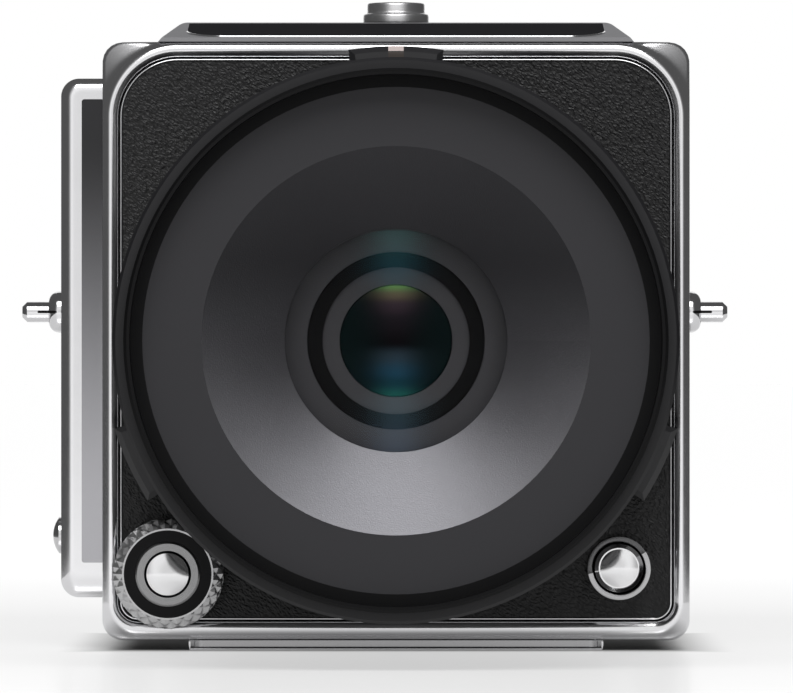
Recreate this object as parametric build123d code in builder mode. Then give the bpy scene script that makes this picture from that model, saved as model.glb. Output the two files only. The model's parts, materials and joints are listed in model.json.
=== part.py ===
from build123d import *
import math
import os

# A medium format digital camera: a thin body with a lens in front and a digital back behind.
# Millimetres. +X is to the right in front view, the lens points along -Y, +Z is up.
# The origin is the mouth of the larger tripod thread, in the plane of the base plate.

os.makedirs("parts", exist_ok=True)

# Fits shared by all pieces
gap = 0.3                    # between pieces that move past each other
running = 0.05               # radial clearance of a turning fit
slip = 0.1                   # clearance of a sliding or pressed piece
overrun = 5.0                # how far a cut runs past the face that it opens
half_turn_angle = 180.0

# Body, front frame and front panel
axis_z = 44.2                # height of the lens axis over the base
tripod_to_face = 10.0        # front face of the frame ahead of the tripod thread
base_thickness = 1.4
frame_width = 84.0
frame_height = 85.6
frame_corner = 2.9
frame_band = 2.6             # width of the polished band at the sides
frame_sill = 3.0             # its width at the bottom
frame_lintel = 2.5           # its width at the top
frame_top_corner = 8.3       # inner corners, top
frame_low_corner = 2.5       # inner corners, bottom
frame_depth = 4.0
frame_round = 1.15           # rounding of the band's front edges
panel_recess = 0.5
panel_thickness = 1.6
panel_groove = 0.35
body_depth = 20.0            # frame face to the plane where the back sits
chamber_width = 64.0
chamber_height = 54.0
chamber_corner = 4.0
throat_radius = 30.0
throat_depth = 2.0           # round throat ahead of the chamber

# Side cover, which carries one strap lug and the cable socket's cap
side_reach = 6.1             # how far it stands out of the frame
side_setback = 5.0           # its front behind the frame's face
side_height = 74.5
side_base_z = 7.4
side_corner = 2.6
side_round = 2.5             # rounding of its front edges
lug_height = 48.4
lug_setback = 12.0
lug_length = 5.8
lug_radius = 1.5
lug_flare = 3.0
lug_flange = 0.5
lug_tip_round = 0.7
cap_height = 16.2
cap_radius = 2.65
cap_reach = 1.4
cap_rim = 0.5

# Top cover and its inlay
cover_half_width = 34.0
cover_top_half_width = 31.0
cover_front_rise = 0.6
cover_rise = 3.5
cover_shoulder = 1.6
cover_setback = 0.6
inlay_half_width = 30.0
inlay_margin = 1.2
inlay_thickness = 0.4
inlay_corner = 6.0

# Base plate and tripod threads
base_width = 59.3
base_depth = 18.0
base_corner = 2.0
base_edge = 0.5
large_thread_radius = 3.97   # wall of a 3/8 inch thread
small_thread_radius = 2.55   # wall of a 1/4 inch thread
thread_depth = 6.5
thread_spacing = 18.0
bush_wall = 1.8

# Lens mount on the body
flange_lead = 8.0            # flange ahead of the frame's face
collar_radius = 37.5
collar_lobe_radius = 41.9
collar_top_half_angle = 9.3
collar_wing_start_angle = 17.3
collar_wing_end_angle = 32.8
collar_edge = 0.8
collar_drop = 0.4            # collar's front behind the flange
bayonet_outer = 33.0
bayonet_throat = 29.5
bayonet_tab_radius = 27.0
bayonet_tab_depth = 2.5
bayonet_tab_angle = 54.0
bayonet_count = 3
contact_inner = 20.0
contact_angle = 50.0
contact_depth = 2.6
contact_setback = 6.6        # behind the flange
contact_pin_radius = 0.5
contact_pin_lift = 0.35
contact_pins = 9

# Command dial with the shutter button in its middle
dial_x = -32.5
dial_z = 11.0
dial_radius = 7.9
dial_rim_radius = 6.6
dial_depth = 4.0
dial_edge = 0.35
dial_disc_depth = 0.5
post_radius = 4.6
post_bore = 3.35
post_lead = 0.4              # post's front ahead of the dial
button_radius = 3.05
button_lead = 0.7            # rim of the button ahead of its post
button_dish = 0.7
button_travel = 1.0
button_stem = 7.0
button_edge = 0.25

# Lens release and its guard
release_x = 31.8
release_z = 11.8
guard_radius = 4.5
guard_bore = 3.75
guard_height = 4.2
guard_low_share = 0.3        # height of the cut-away side, of the guard's height
guard_cut_start_angle = 60.0
guard_cut_angle = 120.0
release_radius = 3.45
release_lead = 3.4
release_dish_radius = 2.75
release_dish = 0.6
release_stem = 7.0
release_travel = 2.0

# Lens
lens_length = 68.0
lens_radius = 38.0
lens_rear_radius = 36.8
lens_edge = 0.4
tube_radius = 34.0
tube_bore = 29.0
mount_plate_radius = 32.0
mount_plate = 2.0
mount_seat = 0.5             # barrel's rear face ahead of the flange
spigot_radius = 26.4
spigot_bore = 24.6
spigot_length = 5.4
spigot_tab_radius = 28.9
spigot_tab_depth = 2.4
spigot_tab_angle = 50.0
rear_head = 7.0
control_width = 10.4
control_radius = 37.5
band_width = 2.6
focus_width = 24.0
focus_travel = 3.0
sleeve_thickness = 1.0
filter_step = 4.0            # the filter ring ahead of the barrel's front edge
filter_outer = 36.4
filter_bore = 35.6           # wall of a 72 mm filter thread
filter_depth = 4.6
filter_length = 7.0
face_outer = 34.0
face_inner = 26.1
face_thickness = 2.0
cone_inner = 15.1
cone_depth = 10.0
cone_wall = 1.2
front_glass_depth = 3.4
front_glass_crown = 0.9
cell_step_radius = 12.1
baffle_inner = 10.0
cell_bore = 7.7
cell_step = 2.2
cell_wall = 1.5
baffle_thickness = 0.8
inner_glass_depth = 3.0
inner_glass_crown = 1.4
glass_rim = 0.3
rear_glass_radius = 20.0
rear_glass_depth = 5.0
rear_glass_crown = 1.6
rear_glass_setback = 2.0     # its rim ahead of the spigot's end
rear_wall = 1.6

# Iris
iris_setback = 26.0          # ahead of the flange
iris_aperture = 12.2
iris_wall = 1.2
iris_bore = 26.2
blade_count = 5
blade_thickness = 0.2
blade_pitch = 0.52
blade_mid_radius = 15.9
blade_width = 6.6
blade_start_angle = 6.0
blade_sweep_angle = 104.0
blade_turn_angle = 22.0
pivot_radius = 22.9
pin_radius = 0.5
ear_radius = 1.15
drive_lag_angle = 10.0             # drive pin behind the pivot, in degrees about the lens axis
drive_turn_angle = 9.0
drive_ring_inner = 20.6
drive_ring_depth = 0.8

# Digital back
back_left = 42.6
back_right = 42.6
back_bottom = 1.8
back_top = 87.4
back_corner = 4.5
back_depth = 50.0
skin = 0.6
trim_depth = 4.0
rear_cover_depth = 6.0
rear_cover_round = 2.2
hook_width = 9.0
hook_height = 2.2
hook_spacing = 54.0
hinge_round = 2.0            # lower front edge of the back, about which it swings
keeper_width = 12.0
keeper_inset = 5.5
keeper_height = 2.6
keeper_reach = 2.2
flange_to_sensor = 18.1
sensor_block_width = 58.0
sensor_block_height = 47.0
sensor_block_corner = 3.0
sensor_width = 43.8
sensor_height = 32.9
sensor_recess = 1.4
sensor_pocket = 3.0
foot_width = 60.0
foot_depth = 6.0
foot_inset = 6.0
swing_clearance = 1.6

# Release button on top of the back
catch_setback = 15.0         # behind the plane where the back sits
catch_low_radius = 4.8
catch_top_radius = 4.2
catch_low_height = 1.5
catch_top_height = 1.8
catch_stem = 1.6
catch_stem_length = 3.0
catch_travel = 3.0
catch_edge = 0.25
catch_seat_radius = 5.4
catch_seat_height = 3.0      # of the raised seat on which the button slides

# Screen
screen_width = 75.0
screen_height = 58.0
screen_thickness = 4.6
screen_top_margin = 5.0
screen_corner = 1.6
screen_sink = 0.2
screen_glass_margin = 1.6
screen_glass_depth = 0.8
screen_pin = 1.0
screen_pin_reach = 2.2

# Buttons under the screen
key_count = 5
key_spacing = 13.0
key_radius = 3.3
key_z = 13.6
key_lift = 0.7
key_depth = 3.0
key_travel = 0.5
key_edge = 0.35

# Battery, its latch and the two doors
battery_depth = 16.0
battery_height = 42.0
battery_length = 62.0
battery_z = 40.0
battery_setback = 14.0       # its front face behind the plane where the back sits
battery_round = 2.0
latch_width = 8.0
latch_height = 4.0
latch_lift = 0.7
latch_stem = 1.5
latch_stem_length = 2.5
latch_travel = 3.0
latch_offset = 8.0           # below the battery
door_width = 24.0
door_height = 26.0
door_thickness = 1.4
door_setback = 14.0
card_door_z = 60.0
port_door_z = 26.0
door_pocket = 3.4
door_pocket_wall = 2.5
slot_height = 20.0
slot_width = 2.6
slot_depth = 2.0
socket_width = 9.0
socket_height = 3.4
socket_spacing = 8.0

# Planes across the camera, from front to rear
face_y = -tripod_to_face
flange_y = face_y - flange_lead
lens_front_y = flange_y - lens_length
barrel_front_y = lens_front_y + filter_step
joint_y = face_y + body_depth
back_y = joint_y + gap
hinge_y = back_y + hinge_round
hinge_z = back_bottom + hinge_round
trim_y = back_y + trim_depth
back_rear_y = back_y + back_depth
rear_y = back_rear_y + rear_cover_depth
body_top_z = base_thickness + frame_height
body_mid_z = base_thickness + frame_height / 2
panel_y = face_y + panel_recess
panel_back_y = panel_y + panel_thickness
frame_back_y = face_y + frame_depth
lens_axis = Axis((0, 0, axis_z), (0, 1, 0))
lens_plane = Plane(origin=(0, 0, axis_z), x_dir=(1, 0, 0), z_dir=(0, 0, 1))


def front_plane(y, x=0, z=0):
    """Plane that looks out of the front: its x is +X, its y is +Z and it extrudes towards -Y."""
    return Plane(origin=(x, y, z), x_dir=(1, 0, 0), z_dir=(0, -1, 0))


def turned(*points, x=0, z=axis_z):
    """Closed profile for a revolve about a line along Y: each point is a radius and a y."""
    with BuildSketch(Plane(origin=(x, 0, z), x_dir=(1, 0, 0), z_dir=(0, 0, 1))) as profile:
        with BuildLine():
            Polyline(*points, close=True)
        make_face()
    return profile.sketch


def ring_profile(inner, outer, front, rear, edge, x=0, z=axis_z):
    """Profile of a ring between two planes, its outer corners cut by a small bevel."""
    return turned((inner, front), (outer - edge, front), (outer, front + edge),
                  (outer, rear - edge), (outer - edge, rear), (inner, rear), x=x, z=z)


def opening_outline(shrink):
    """Opening of the front frame: wide round corners at the top, small ones at the bottom."""
    width = frame_width - 2 * (frame_band + shrink)
    height = frame_height - frame_sill - frame_lintel - 2 * shrink
    centre_z = base_thickness + frame_sill + shrink + height / 2
    with BuildSketch() as outline:
        with Locations((0, centre_z)):
            Rectangle(width, height)
        fillet(outline.vertices().group_by(Axis.Y)[-1], frame_top_corner - shrink)
        fillet(outline.vertices().sort_by(Axis.Y)[:2], frame_low_corner - shrink)
    return outline.sketch


def on_front(sketch, y):
    """The same sketch stood up in the front plane at y."""
    return front_plane(y).from_local_coords(sketch)


def back_outline(shrink):
    """Outline of the digital back in front view, a rectangle with round corners."""
    width = back_left + back_right - 2 * shrink
    height = back_top - back_bottom - 2 * shrink
    with BuildSketch() as outline:
        with Locations(((back_right - back_left) / 2, (back_top + back_bottom) / 2)):
            RectangleRounded(width, height, back_corner - shrink)
    return outline.sketch


def finish(builder, name):
    """Label a finished piece and write it."""
    builder.part.label = name
    export_step(builder.part, "parts/" + name + ".step")


# Front frame: a polished band with soft edges all round the front
with BuildPart() as front_frame:
    with BuildSketch(front_plane(frame_back_y, z=body_mid_z)):
        RectangleRounded(frame_width, frame_height, frame_corner)
    extrude(amount=frame_depth)
    extrude(on_front(opening_outline(0), frame_back_y), amount=frame_depth, dir=(0, -1, 0),
            mode=Mode.SUBTRACT)
    fillet(front_frame.faces().sort_by(Axis.Y)[0].edges(), frame_round)
finish(front_frame, "front_frame")

# Front panel: the covered plate inside the frame, open for the mount, the dial and the release
with BuildPart() as front_panel:
    extrude(on_front(opening_outline(panel_groove), panel_back_y), amount=panel_thickness,
            dir=(0, -1, 0))
    with BuildSketch(front_plane(panel_back_y)):
        with Locations((0, axis_z)):
            Circle(bayonet_outer)
        with Locations((dial_x, dial_z)):
            Circle(post_radius)
        with Locations((release_x, release_z)):
            Circle(guard_bore)
    extrude(amount=panel_thickness, mode=Mode.SUBTRACT)
finish(front_panel, "front_panel")

# Thread bushes: two steel inserts pressed up into the housing
bush_places = ((0, large_thread_radius), (thread_spacing, small_thread_radius))
with BuildPart() as thread_bushes:
    for bush_x, bore in bush_places:
        with BuildSketch():
            with Locations((bush_x, 0)):
                Circle(bore + bush_wall)
                Circle(bore, mode=Mode.SUBTRACT)
        extrude(amount=thread_depth)
finish(thread_bushes, "thread_bushes")

# Housing: the casting behind the frame, with the light chamber through it
keeper_z = back_top - keeper_inset
with BuildPart() as body_housing:
    with BuildSketch(front_plane(joint_y, z=body_mid_z)):
        RectangleRounded(frame_width, frame_height, frame_corner)
    extrude(amount=body_depth - frame_depth)
    extrude(on_front(opening_outline(0), frame_back_y), amount=frame_back_y - panel_back_y,
            dir=(0, -1, 0))
    with BuildSketch(front_plane(joint_y, z=axis_z)):
        RectangleRounded(chamber_width, chamber_height, chamber_corner)
    extrude(amount=joint_y - panel_back_y - throat_depth, mode=Mode.SUBTRACT)
    with BuildSketch(front_plane(joint_y, z=axis_z)):
        Circle(throat_radius)
    extrude(amount=body_depth + overrun, mode=Mode.SUBTRACT)
    with BuildSketch(front_plane(panel_back_y + button_stem)):
        with Locations((dial_x, dial_z)):
            Circle(button_radius + slip)
        with Locations((release_x, release_z)):
            Circle(guard_bore)
    extrude(amount=button_stem + overrun, mode=Mode.SUBTRACT)
    for bush_x, bore in bush_places:
        with BuildSketch():
            with Locations((bush_x, 0)):
                Circle(bore + bush_wall)
        extrude(amount=thread_depth, mode=Mode.SUBTRACT)
    # two round-nosed feet, on which the back swings, and a keeper stand out at the rear
    for hook_x in (-hook_spacing / 2, hook_spacing / 2):
        with BuildSketch(Plane.YZ.offset(hook_x - hook_width / 2)):
            with Locations((hinge_y, hinge_z)):
                Rectangle(hinge_y - joint_y, hook_height, align=(Align.MAX, Align.CENTER))
                Circle(hook_height / 2)
        extrude(amount=hook_width)
    with BuildSketch(front_plane(joint_y + keeper_reach)):
        with Locations((0, keeper_z)):
            Rectangle(keeper_width, keeper_height)
    extrude(amount=keeper_reach)
finish(body_housing, "body_housing")

# Side cover: the narrow box beside the frame
side_x = -frame_width / 2 - side_reach
with BuildPart() as side_cover:
    with BuildSketch(front_plane(joint_y, z=side_base_z + side_height / 2)):
        with Locations((-frame_width / 2 - side_reach / 2, 0)):
            Rectangle(side_reach, side_height)
    extrude(amount=body_depth - side_setback)
    outer_face = side_cover.faces().sort_by(Axis.X)[0]
    fillet(outer_face.edges().filter_by(Axis.Y), side_corner)
    front_edges = side_cover.faces().sort_by(Axis.Y)[0].edges().sort_by(Axis.X)
    fillet(front_edges[:-1], side_round)
finish(side_cover, "side_cover")


def lug_profile(seat_x, side):
    """Half section of a strap lug: a flared foot that thins into a round pin."""
    tip = seat_x + side * lug_length
    foot = seat_x + side * lug_flange
    neck = foot + side * (lug_flare - lug_radius)
    with BuildSketch(Plane(origin=(0, lug_y, lug_height), x_dir=(1, 0, 0), z_dir=(0, 0, 1))) as profile:
        with BuildLine():
            Line((seat_x, 0), (seat_x, lug_flare))
            Line((seat_x, lug_flare), (foot, lug_flare))
            RadiusArc((foot, lug_flare), (neck, lug_radius), side * (lug_flare - lug_radius))
            Line((neck, lug_radius), (tip - side * lug_tip_round, lug_radius))
            Line((tip - side * lug_tip_round, lug_radius), (tip, lug_radius - lug_tip_round))
            Line((tip, lug_radius - lug_tip_round), (tip, 0))
            Line((tip, 0), (seat_x, 0))
        make_face()
    return profile.sketch


lug_y = face_y + lug_setback
lug_axis = Axis((0, lug_y, lug_height), (1, 0, 0))
with BuildPart() as lug_left:
    revolve(lug_profile(side_x, -1), axis=lug_axis)
finish(lug_left, "lug_left")

with BuildPart() as lug_right:
    revolve(lug_profile(frame_width / 2, 1), axis=lug_axis)
finish(lug_right, "lug_right")

# Side cap: a low dome in a rim over the cable socket
with BuildPart() as side_cap:
    with BuildSketch(Plane(origin=(0, lug_y, cap_height), x_dir=(1, 0, 0), z_dir=(0, 0, 1))):
        with BuildLine():
            Polyline((side_x - cap_reach, 0), (side_x, 0), (side_x, cap_radius),
                     (side_x - cap_rim, cap_radius))
            RadiusArc((side_x - cap_rim, cap_radius), (side_x - cap_reach, 0),
                      -(cap_radius ** 2 + (cap_reach - cap_rim) ** 2) / (2 * (cap_reach - cap_rim)))
        make_face()
    revolve(axis=Axis((0, lug_y, cap_height), (1, 0, 0)))
finish(side_cap, "side_cap")

# Top cover: rises from the frame to the back, with round shoulders
cover_front_y = face_y + cover_setback
cover_run = joint_y - cover_front_y
cover_climb = cover_rise - cover_front_rise
cover_angle = math.degrees(math.atan2(cover_climb, cover_run))
slope_mid = (0, (cover_front_y + joint_y) / 2, body_top_z + (cover_front_rise + cover_rise) / 2)
slope_plane = Plane(origin=slope_mid, x_dir=(1, 0, 0),
                    z_dir=(0, -math.sin(math.radians(cover_angle)), math.cos(math.radians(cover_angle))))
inlay_run = math.hypot(cover_run, cover_climb) - 2 * inlay_margin


def inlay_outline():
    """Outline of the inlay on the slope: its two front corners are widely rounded."""
    with BuildSketch(slope_plane) as outline:
        Rectangle(2 * inlay_half_width, inlay_run)
        fillet(outline.vertices().sort_by(Axis.Y)[:2], inlay_corner)
    return outline.sketch


with BuildPart() as top_cover:
    with BuildSketch(Plane.YZ.offset(-cover_half_width)):
        with BuildLine():
            Polyline((cover_front_y, body_top_z), (cover_front_y, body_top_z + cover_front_rise),
                     (joint_y, body_top_z + cover_rise), (joint_y, body_top_z), close=True)
        make_face()
    extrude(amount=2 * cover_half_width)
    with BuildSketch(front_plane(joint_y)) as shoulders:
        with BuildLine():
            Polyline((-cover_half_width, body_top_z), (cover_half_width, body_top_z),
                     (cover_top_half_width, body_top_z + cover_rise),
                     (-cover_top_half_width, body_top_z + cover_rise), close=True)
        make_face()
        fillet(shoulders.vertices().sort_by(Axis.Y)[-2:], cover_shoulder)
    extrude(amount=cover_run, mode=Mode.INTERSECT)
    extrude(inlay_outline(), amount=-inlay_thickness, mode=Mode.SUBTRACT)
finish(top_cover, "top_cover")

with BuildPart() as top_inlay:
    extrude(inlay_outline(), amount=-inlay_thickness)
finish(top_inlay, "top_inlay")

# Base plate: polished, with the two threads in line across it
with BuildPart() as base_plate:
    with BuildSketch():
        RectangleRounded(base_width, base_depth, base_corner)
    extrude(amount=base_thickness)
    chamfer(base_plate.faces().sort_by(Axis.Z)[0].outer_wire().edges(), base_edge)
    for bush_x, bore in bush_places:
        with BuildSketch():
            with Locations((bush_x, 0)):
                Circle(bore + bush_wall)
        extrude(amount=base_thickness, mode=Mode.SUBTRACT)
finish(base_plate, "base_plate")

# Mount collar: a black ring with a lobe at the top and a wing at each side
collar_front_y = flange_y + collar_drop
lobes = ((90 - collar_top_half_angle, 2 * collar_top_half_angle),
         (-collar_wing_end_angle, collar_wing_end_angle - collar_wing_start_angle),
         (half_turn_angle + collar_wing_start_angle, collar_wing_end_angle - collar_wing_start_angle))


def sector(start, sweep, radius):
    """Pie slice in a front sketch about the lens axis."""
    with BuildSketch() as slice_sketch:
        with BuildLine():
            arc = CenterArc((0, 0), radius, start, sweep)
            Line((0, 0), arc @ 0)
            Line((0, 0), arc @ 1)
        make_face()
    return slice_sketch.sketch


def on_axis(sketch, y):
    """A sketch drawn about the lens axis, stood up in the front plane at y."""
    return front_plane(y, z=axis_z).from_local_coords(sketch)


with BuildPart() as mount_collar:
    with BuildSketch(front_plane(face_y, z=axis_z)):
        Circle(collar_radius)
        for start, sweep in lobes:
            add(sector(start, sweep, collar_lobe_radius))
        Circle(bayonet_outer, mode=Mode.SUBTRACT)
    extrude(amount=face_y - collar_front_y)
    chamfer(mount_collar.faces().sort_by(Axis.Y)[0].outer_wire().edges(), collar_edge)
    with BuildSketch(front_plane(panel_y, z=axis_z)):
        Circle(collar_radius)
        Circle(bayonet_outer, mode=Mode.SUBTRACT)
    extrude(amount=panel_recess)
finish(mount_collar, "mount_collar")

# Body bayonet: a steel ring with three inward tabs at its flange
with BuildPart() as bayonet_ring:
    revolve(turned((bayonet_throat, flange_y), (bayonet_outer, flange_y),
                   (bayonet_outer, panel_back_y), (bayonet_throat, panel_back_y)), axis=lens_axis)
    for step in range(bayonet_count):
        start = 90 - bayonet_tab_angle / 2 + step * 360 / bayonet_count
        extrude(on_axis(sector(start, bayonet_tab_angle, bayonet_throat + slip),
                        flange_y + bayonet_tab_depth), amount=bayonet_tab_depth, dir=(0, -1, 0))
    with BuildSketch(front_plane(flange_y + bayonet_tab_depth, z=axis_z)):
        Circle(bayonet_tab_radius)
    extrude(amount=bayonet_tab_depth, mode=Mode.SUBTRACT)
finish(bayonet_ring, "bayonet_ring")

# Contact block: a curved shelf of sprung pins at the bottom of the throat
contact_y = flange_y + contact_setback
with BuildPart() as contact_block:
    with BuildSketch(front_plane(contact_y + contact_depth, z=axis_z)):
        add(sector(-90 - contact_angle / 2, contact_angle, bayonet_throat))
        Circle(contact_inner, mode=Mode.SUBTRACT)
    extrude(amount=contact_depth)
    with BuildSketch(front_plane(contact_y, z=axis_z)):
        pin_step = contact_angle / (contact_pins + 1)
        with PolarLocations((contact_inner + spigot_bore) / 2, contact_pins,
                            start_angle=-90 - contact_angle / 2 + pin_step,
                            angular_range=contact_angle - 2 * pin_step, endpoint=True):
            Circle(contact_pin_radius)
    extrude(amount=contact_pin_lift)
finish(contact_block, "contact_block")

# Command dial: a wheel that turns on the post, with a black disc let into its face
dial_back_y = face_y - gap
dial_front_y = dial_back_y - dial_depth
dial_axis = Axis((dial_x, 0, dial_z), (0, 1, 0))
with BuildPart() as dial_wheel:
    revolve(turned((post_radius + running, dial_front_y + dial_disc_depth),
                   (dial_rim_radius - dial_edge, dial_front_y + dial_disc_depth),
                   (dial_rim_radius - dial_edge, dial_front_y), (dial_rim_radius, dial_front_y),
                   (dial_radius - dial_edge, dial_front_y + dial_edge),
                   (dial_radius, dial_front_y + 2 * dial_edge),
                   (dial_radius, dial_back_y - dial_edge), (dial_radius - dial_edge, dial_back_y),
                   (post_radius + running, dial_back_y), x=dial_x, z=dial_z), axis=dial_axis)
finish(dial_wheel, "dial_wheel")

with BuildPart() as dial_disc:
    revolve(turned((post_radius + running, dial_front_y),
                   (dial_rim_radius - dial_edge, dial_front_y),
                   (dial_rim_radius - dial_edge, dial_front_y + dial_disc_depth),
                   (post_radius + running, dial_front_y + dial_disc_depth),
                   x=dial_x, z=dial_z), axis=dial_axis)
finish(dial_disc, "dial_disc")

# Post: the fixed tube in the dial that guides the shutter button
post_front_y = dial_front_y - post_lead
with BuildPart() as button_post:
    revolve(turned((post_bore, post_front_y), (post_radius - button_edge, post_front_y),
                   (post_radius, post_front_y + button_edge), (post_radius, panel_back_y),
                   (post_bore, panel_back_y), x=dial_x, z=dial_z), axis=dial_axis)
finish(button_post, "button_post")


def dished_button(x, z, front, radius, dish_radius, dish, stem_end, edge):
    """Half section of a round button with a hollow, polished face."""
    with BuildSketch(Plane(origin=(x, 0, z), x_dir=(1, 0, 0), z_dir=(0, 0, 1))) as profile:
        with BuildLine():
            Polyline((0, front + dish), (0, stem_end), (radius, stem_end), (radius, front + edge),
                     (radius - edge, front), (dish_radius, front))
            RadiusArc((dish_radius, front), (0, front + dish),
                      -(dish_radius ** 2 + dish ** 2) / (2 * dish))
        make_face()
    return profile.sketch


button_front_y = post_front_y - button_lead
with BuildPart() as shutter_button:
    revolve(dished_button(dial_x, dial_z, button_front_y, button_radius, button_radius - 2 * button_edge,
                          button_dish, panel_back_y + button_stem - button_travel - gap, button_edge),
            axis=dial_axis)
finish(shutter_button, "shutter_button")

# Lens release: a button inside a guard that is cut down at its upper left
release_axis = Axis((release_x, 0, release_z), (0, 1, 0))
with BuildPart() as release_guard:
    with BuildSketch(front_plane(panel_y, release_x, release_z)):
        Circle(guard_radius)
        Circle(guard_bore, mode=Mode.SUBTRACT)
    extrude(amount=guard_height)
    with BuildSketch(front_plane(panel_y - guard_low_share * guard_height, release_x, release_z)):
        add(sector(guard_cut_start_angle, guard_cut_angle, guard_radius + overrun))
    extrude(amount=guard_height, mode=Mode.SUBTRACT)
finish(release_guard, "release_guard")

with BuildPart() as lens_release_button:
    revolve(dished_button(release_x, release_z, panel_y - release_lead, release_radius,
                          release_dish_radius, release_dish,
                          panel_back_y + release_stem - release_travel - gap, button_edge),
            axis=release_axis)
finish(lens_release_button, "lens_release_button")

# Lens: bayonet, barrel and rings along the axis
plate_y = flange_y - gap                     # rear face of the lens's own flange
barrel_rear_y = flange_y - mount_seat - gap
seat_y = plate_y - mount_plate
tube_rear_y = barrel_rear_y - rear_head
control_front_y = tube_rear_y - 2 * gap - control_width
band_front_y = control_front_y - band_width
focus_front_y = band_front_y - 2 * gap - focus_travel - focus_width
head_y = focus_front_y - gap
face_plane_y = lens_front_y + filter_depth
cone_rear_y = face_plane_y + cone_depth

with BuildPart() as lens_mount:
    revolve(turned((spigot_bore, seat_y), (mount_plate_radius, seat_y), (mount_plate_radius, plate_y),
                   (spigot_radius, plate_y), (spigot_radius, plate_y + spigot_length),
                   (spigot_bore, plate_y + spigot_length)), axis=lens_axis)
    for step in range(bayonet_count):
        start = 90 - spigot_tab_angle / 2 + step * 360 / bayonet_count
        tab_y = flange_y + bayonet_tab_depth + gap + spigot_tab_depth
        with BuildSketch(front_plane(tab_y, z=axis_z)):
            add(sector(start, spigot_tab_angle, spigot_tab_radius))
            Circle(spigot_radius - slip, mode=Mode.SUBTRACT)
        extrude(amount=spigot_tab_depth)
finish(lens_mount, "lens_mount")

with BuildPart() as lens_barrel:
    revolve(turned((tube_bore, seat_y), (mount_plate_radius, seat_y),
                   (mount_plate_radius, barrel_rear_y),
                   (lens_rear_radius, barrel_rear_y), (lens_rear_radius, tube_rear_y),
                   (tube_radius, tube_rear_y), (tube_radius, control_front_y),
                   (control_radius, control_front_y), (control_radius, band_front_y),
                   (tube_radius, band_front_y), (tube_radius, head_y), (lens_radius, head_y),
                   (lens_radius, barrel_front_y + lens_edge),
                   (lens_radius - lens_edge, barrel_front_y), (filter_outer, barrel_front_y),
                   (filter_outer, lens_front_y + filter_length),
                   (face_outer, lens_front_y + filter_length),
                   (face_outer, face_plane_y + face_thickness),
                   (face_inner + cone_wall, face_plane_y + face_thickness),
                   (tube_bore, cone_rear_y)), axis=lens_axis)
finish(lens_barrel, "lens_barrel")

with BuildPart() as control_ring:
    revolve(ring_profile(tube_radius + running, control_radius, control_front_y + gap,
                         control_front_y + gap + control_width, lens_edge), axis=lens_axis)
finish(control_ring, "control_ring")

sleeve_radius = tube_radius + running + sleeve_thickness
with BuildPart() as clutch_sleeve:
    revolve(turned((tube_radius + running, focus_front_y), (sleeve_radius, focus_front_y),
                   (sleeve_radius, focus_front_y + focus_width),
                   (tube_radius + running, focus_front_y + focus_width)), axis=lens_axis)
finish(clutch_sleeve, "clutch_sleeve")

with BuildPart() as focus_ring:
    revolve(ring_profile(sleeve_radius + running, lens_radius, focus_front_y,
                         focus_front_y + focus_width, lens_edge), axis=lens_axis)
finish(focus_ring, "focus_ring")

with BuildPart() as filter_ring:
    revolve(turned((filter_bore, lens_front_y), (filter_outer - lens_edge, lens_front_y),
                   (filter_outer, lens_front_y + lens_edge),
                   (filter_outer, lens_front_y + filter_length),
                   (face_outer, lens_front_y + filter_length), (face_outer, face_plane_y),
                   (filter_bore, face_plane_y)), axis=lens_axis)
finish(filter_ring, "filter_ring")

with BuildPart() as face_ring:
    revolve(turned((face_inner, face_plane_y), (face_outer, face_plane_y),
                   (face_outer, face_plane_y + face_thickness),
                   (face_inner + cone_wall, face_plane_y + face_thickness)), axis=lens_axis)
finish(face_ring, "face_ring")

with BuildPart() as cone_baffle:
    revolve(turned((face_inner, face_plane_y), (face_inner + cone_wall, face_plane_y + face_thickness),
                   (tube_bore, cone_rear_y), (tube_bore, cone_rear_y + cone_wall),
                   (cone_inner, cone_rear_y + cone_wall), (cone_inner, cone_rear_y)), axis=lens_axis)
finish(cone_baffle, "cone_baffle")

glass_y = cone_rear_y + cone_wall
cell_y = glass_y + front_glass_depth


def lens_element(radius, clear, front, depth, crown):
    """Half section of a glass element: both faces bulge within the clear radius, the rim is flat."""
    bulge = -(clear ** 2 + crown ** 2) / (2 * crown)
    rear = front + depth
    with BuildSketch(lens_plane) as profile:
        with BuildLine():
            RadiusArc((0, front - crown), (clear, front), bulge)
            Polyline((clear, front), (radius, front), (radius, rear), (clear, rear))
            RadiusArc((clear, rear), (0, rear + crown), bulge)
            Line((0, rear + crown), (0, front - crown))
        make_face()
    return profile.sketch


with BuildPart() as front_element:
    revolve(lens_element(cone_inner + cell_wall, cone_inner, glass_y, front_glass_depth,
                         front_glass_crown), axis=lens_axis)
finish(front_element, "front_element")

# Cell: the stepped grey rings seen through the front glass
cell_rear_y = cell_y + 2 * cell_step + inner_glass_depth
with BuildPart() as element_cell:
    revolve(turned((cell_step_radius, cell_y + front_glass_crown),
                   (cone_inner + cell_wall, cell_y + front_glass_crown),
                   (cone_inner + cell_wall, glass_y), (tube_bore, glass_y), (tube_bore, cell_rear_y),
                   (cell_bore, cell_rear_y), (cell_bore, cell_y + cell_step + baffle_thickness),
                   (baffle_inner, cell_y + cell_step + baffle_thickness),
                   (cell_step_radius, cell_y + cell_step + baffle_thickness)), axis=lens_axis)
finish(element_cell, "element_cell")

with BuildPart() as baffle_ring:
    revolve(turned((baffle_inner, cell_y + cell_step), (cell_step_radius, cell_y + cell_step),
                   (cell_step_radius, cell_y + cell_step + baffle_thickness),
                   (baffle_inner, cell_y + cell_step + baffle_thickness)), axis=lens_axis)
finish(baffle_ring, "baffle_ring")

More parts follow.
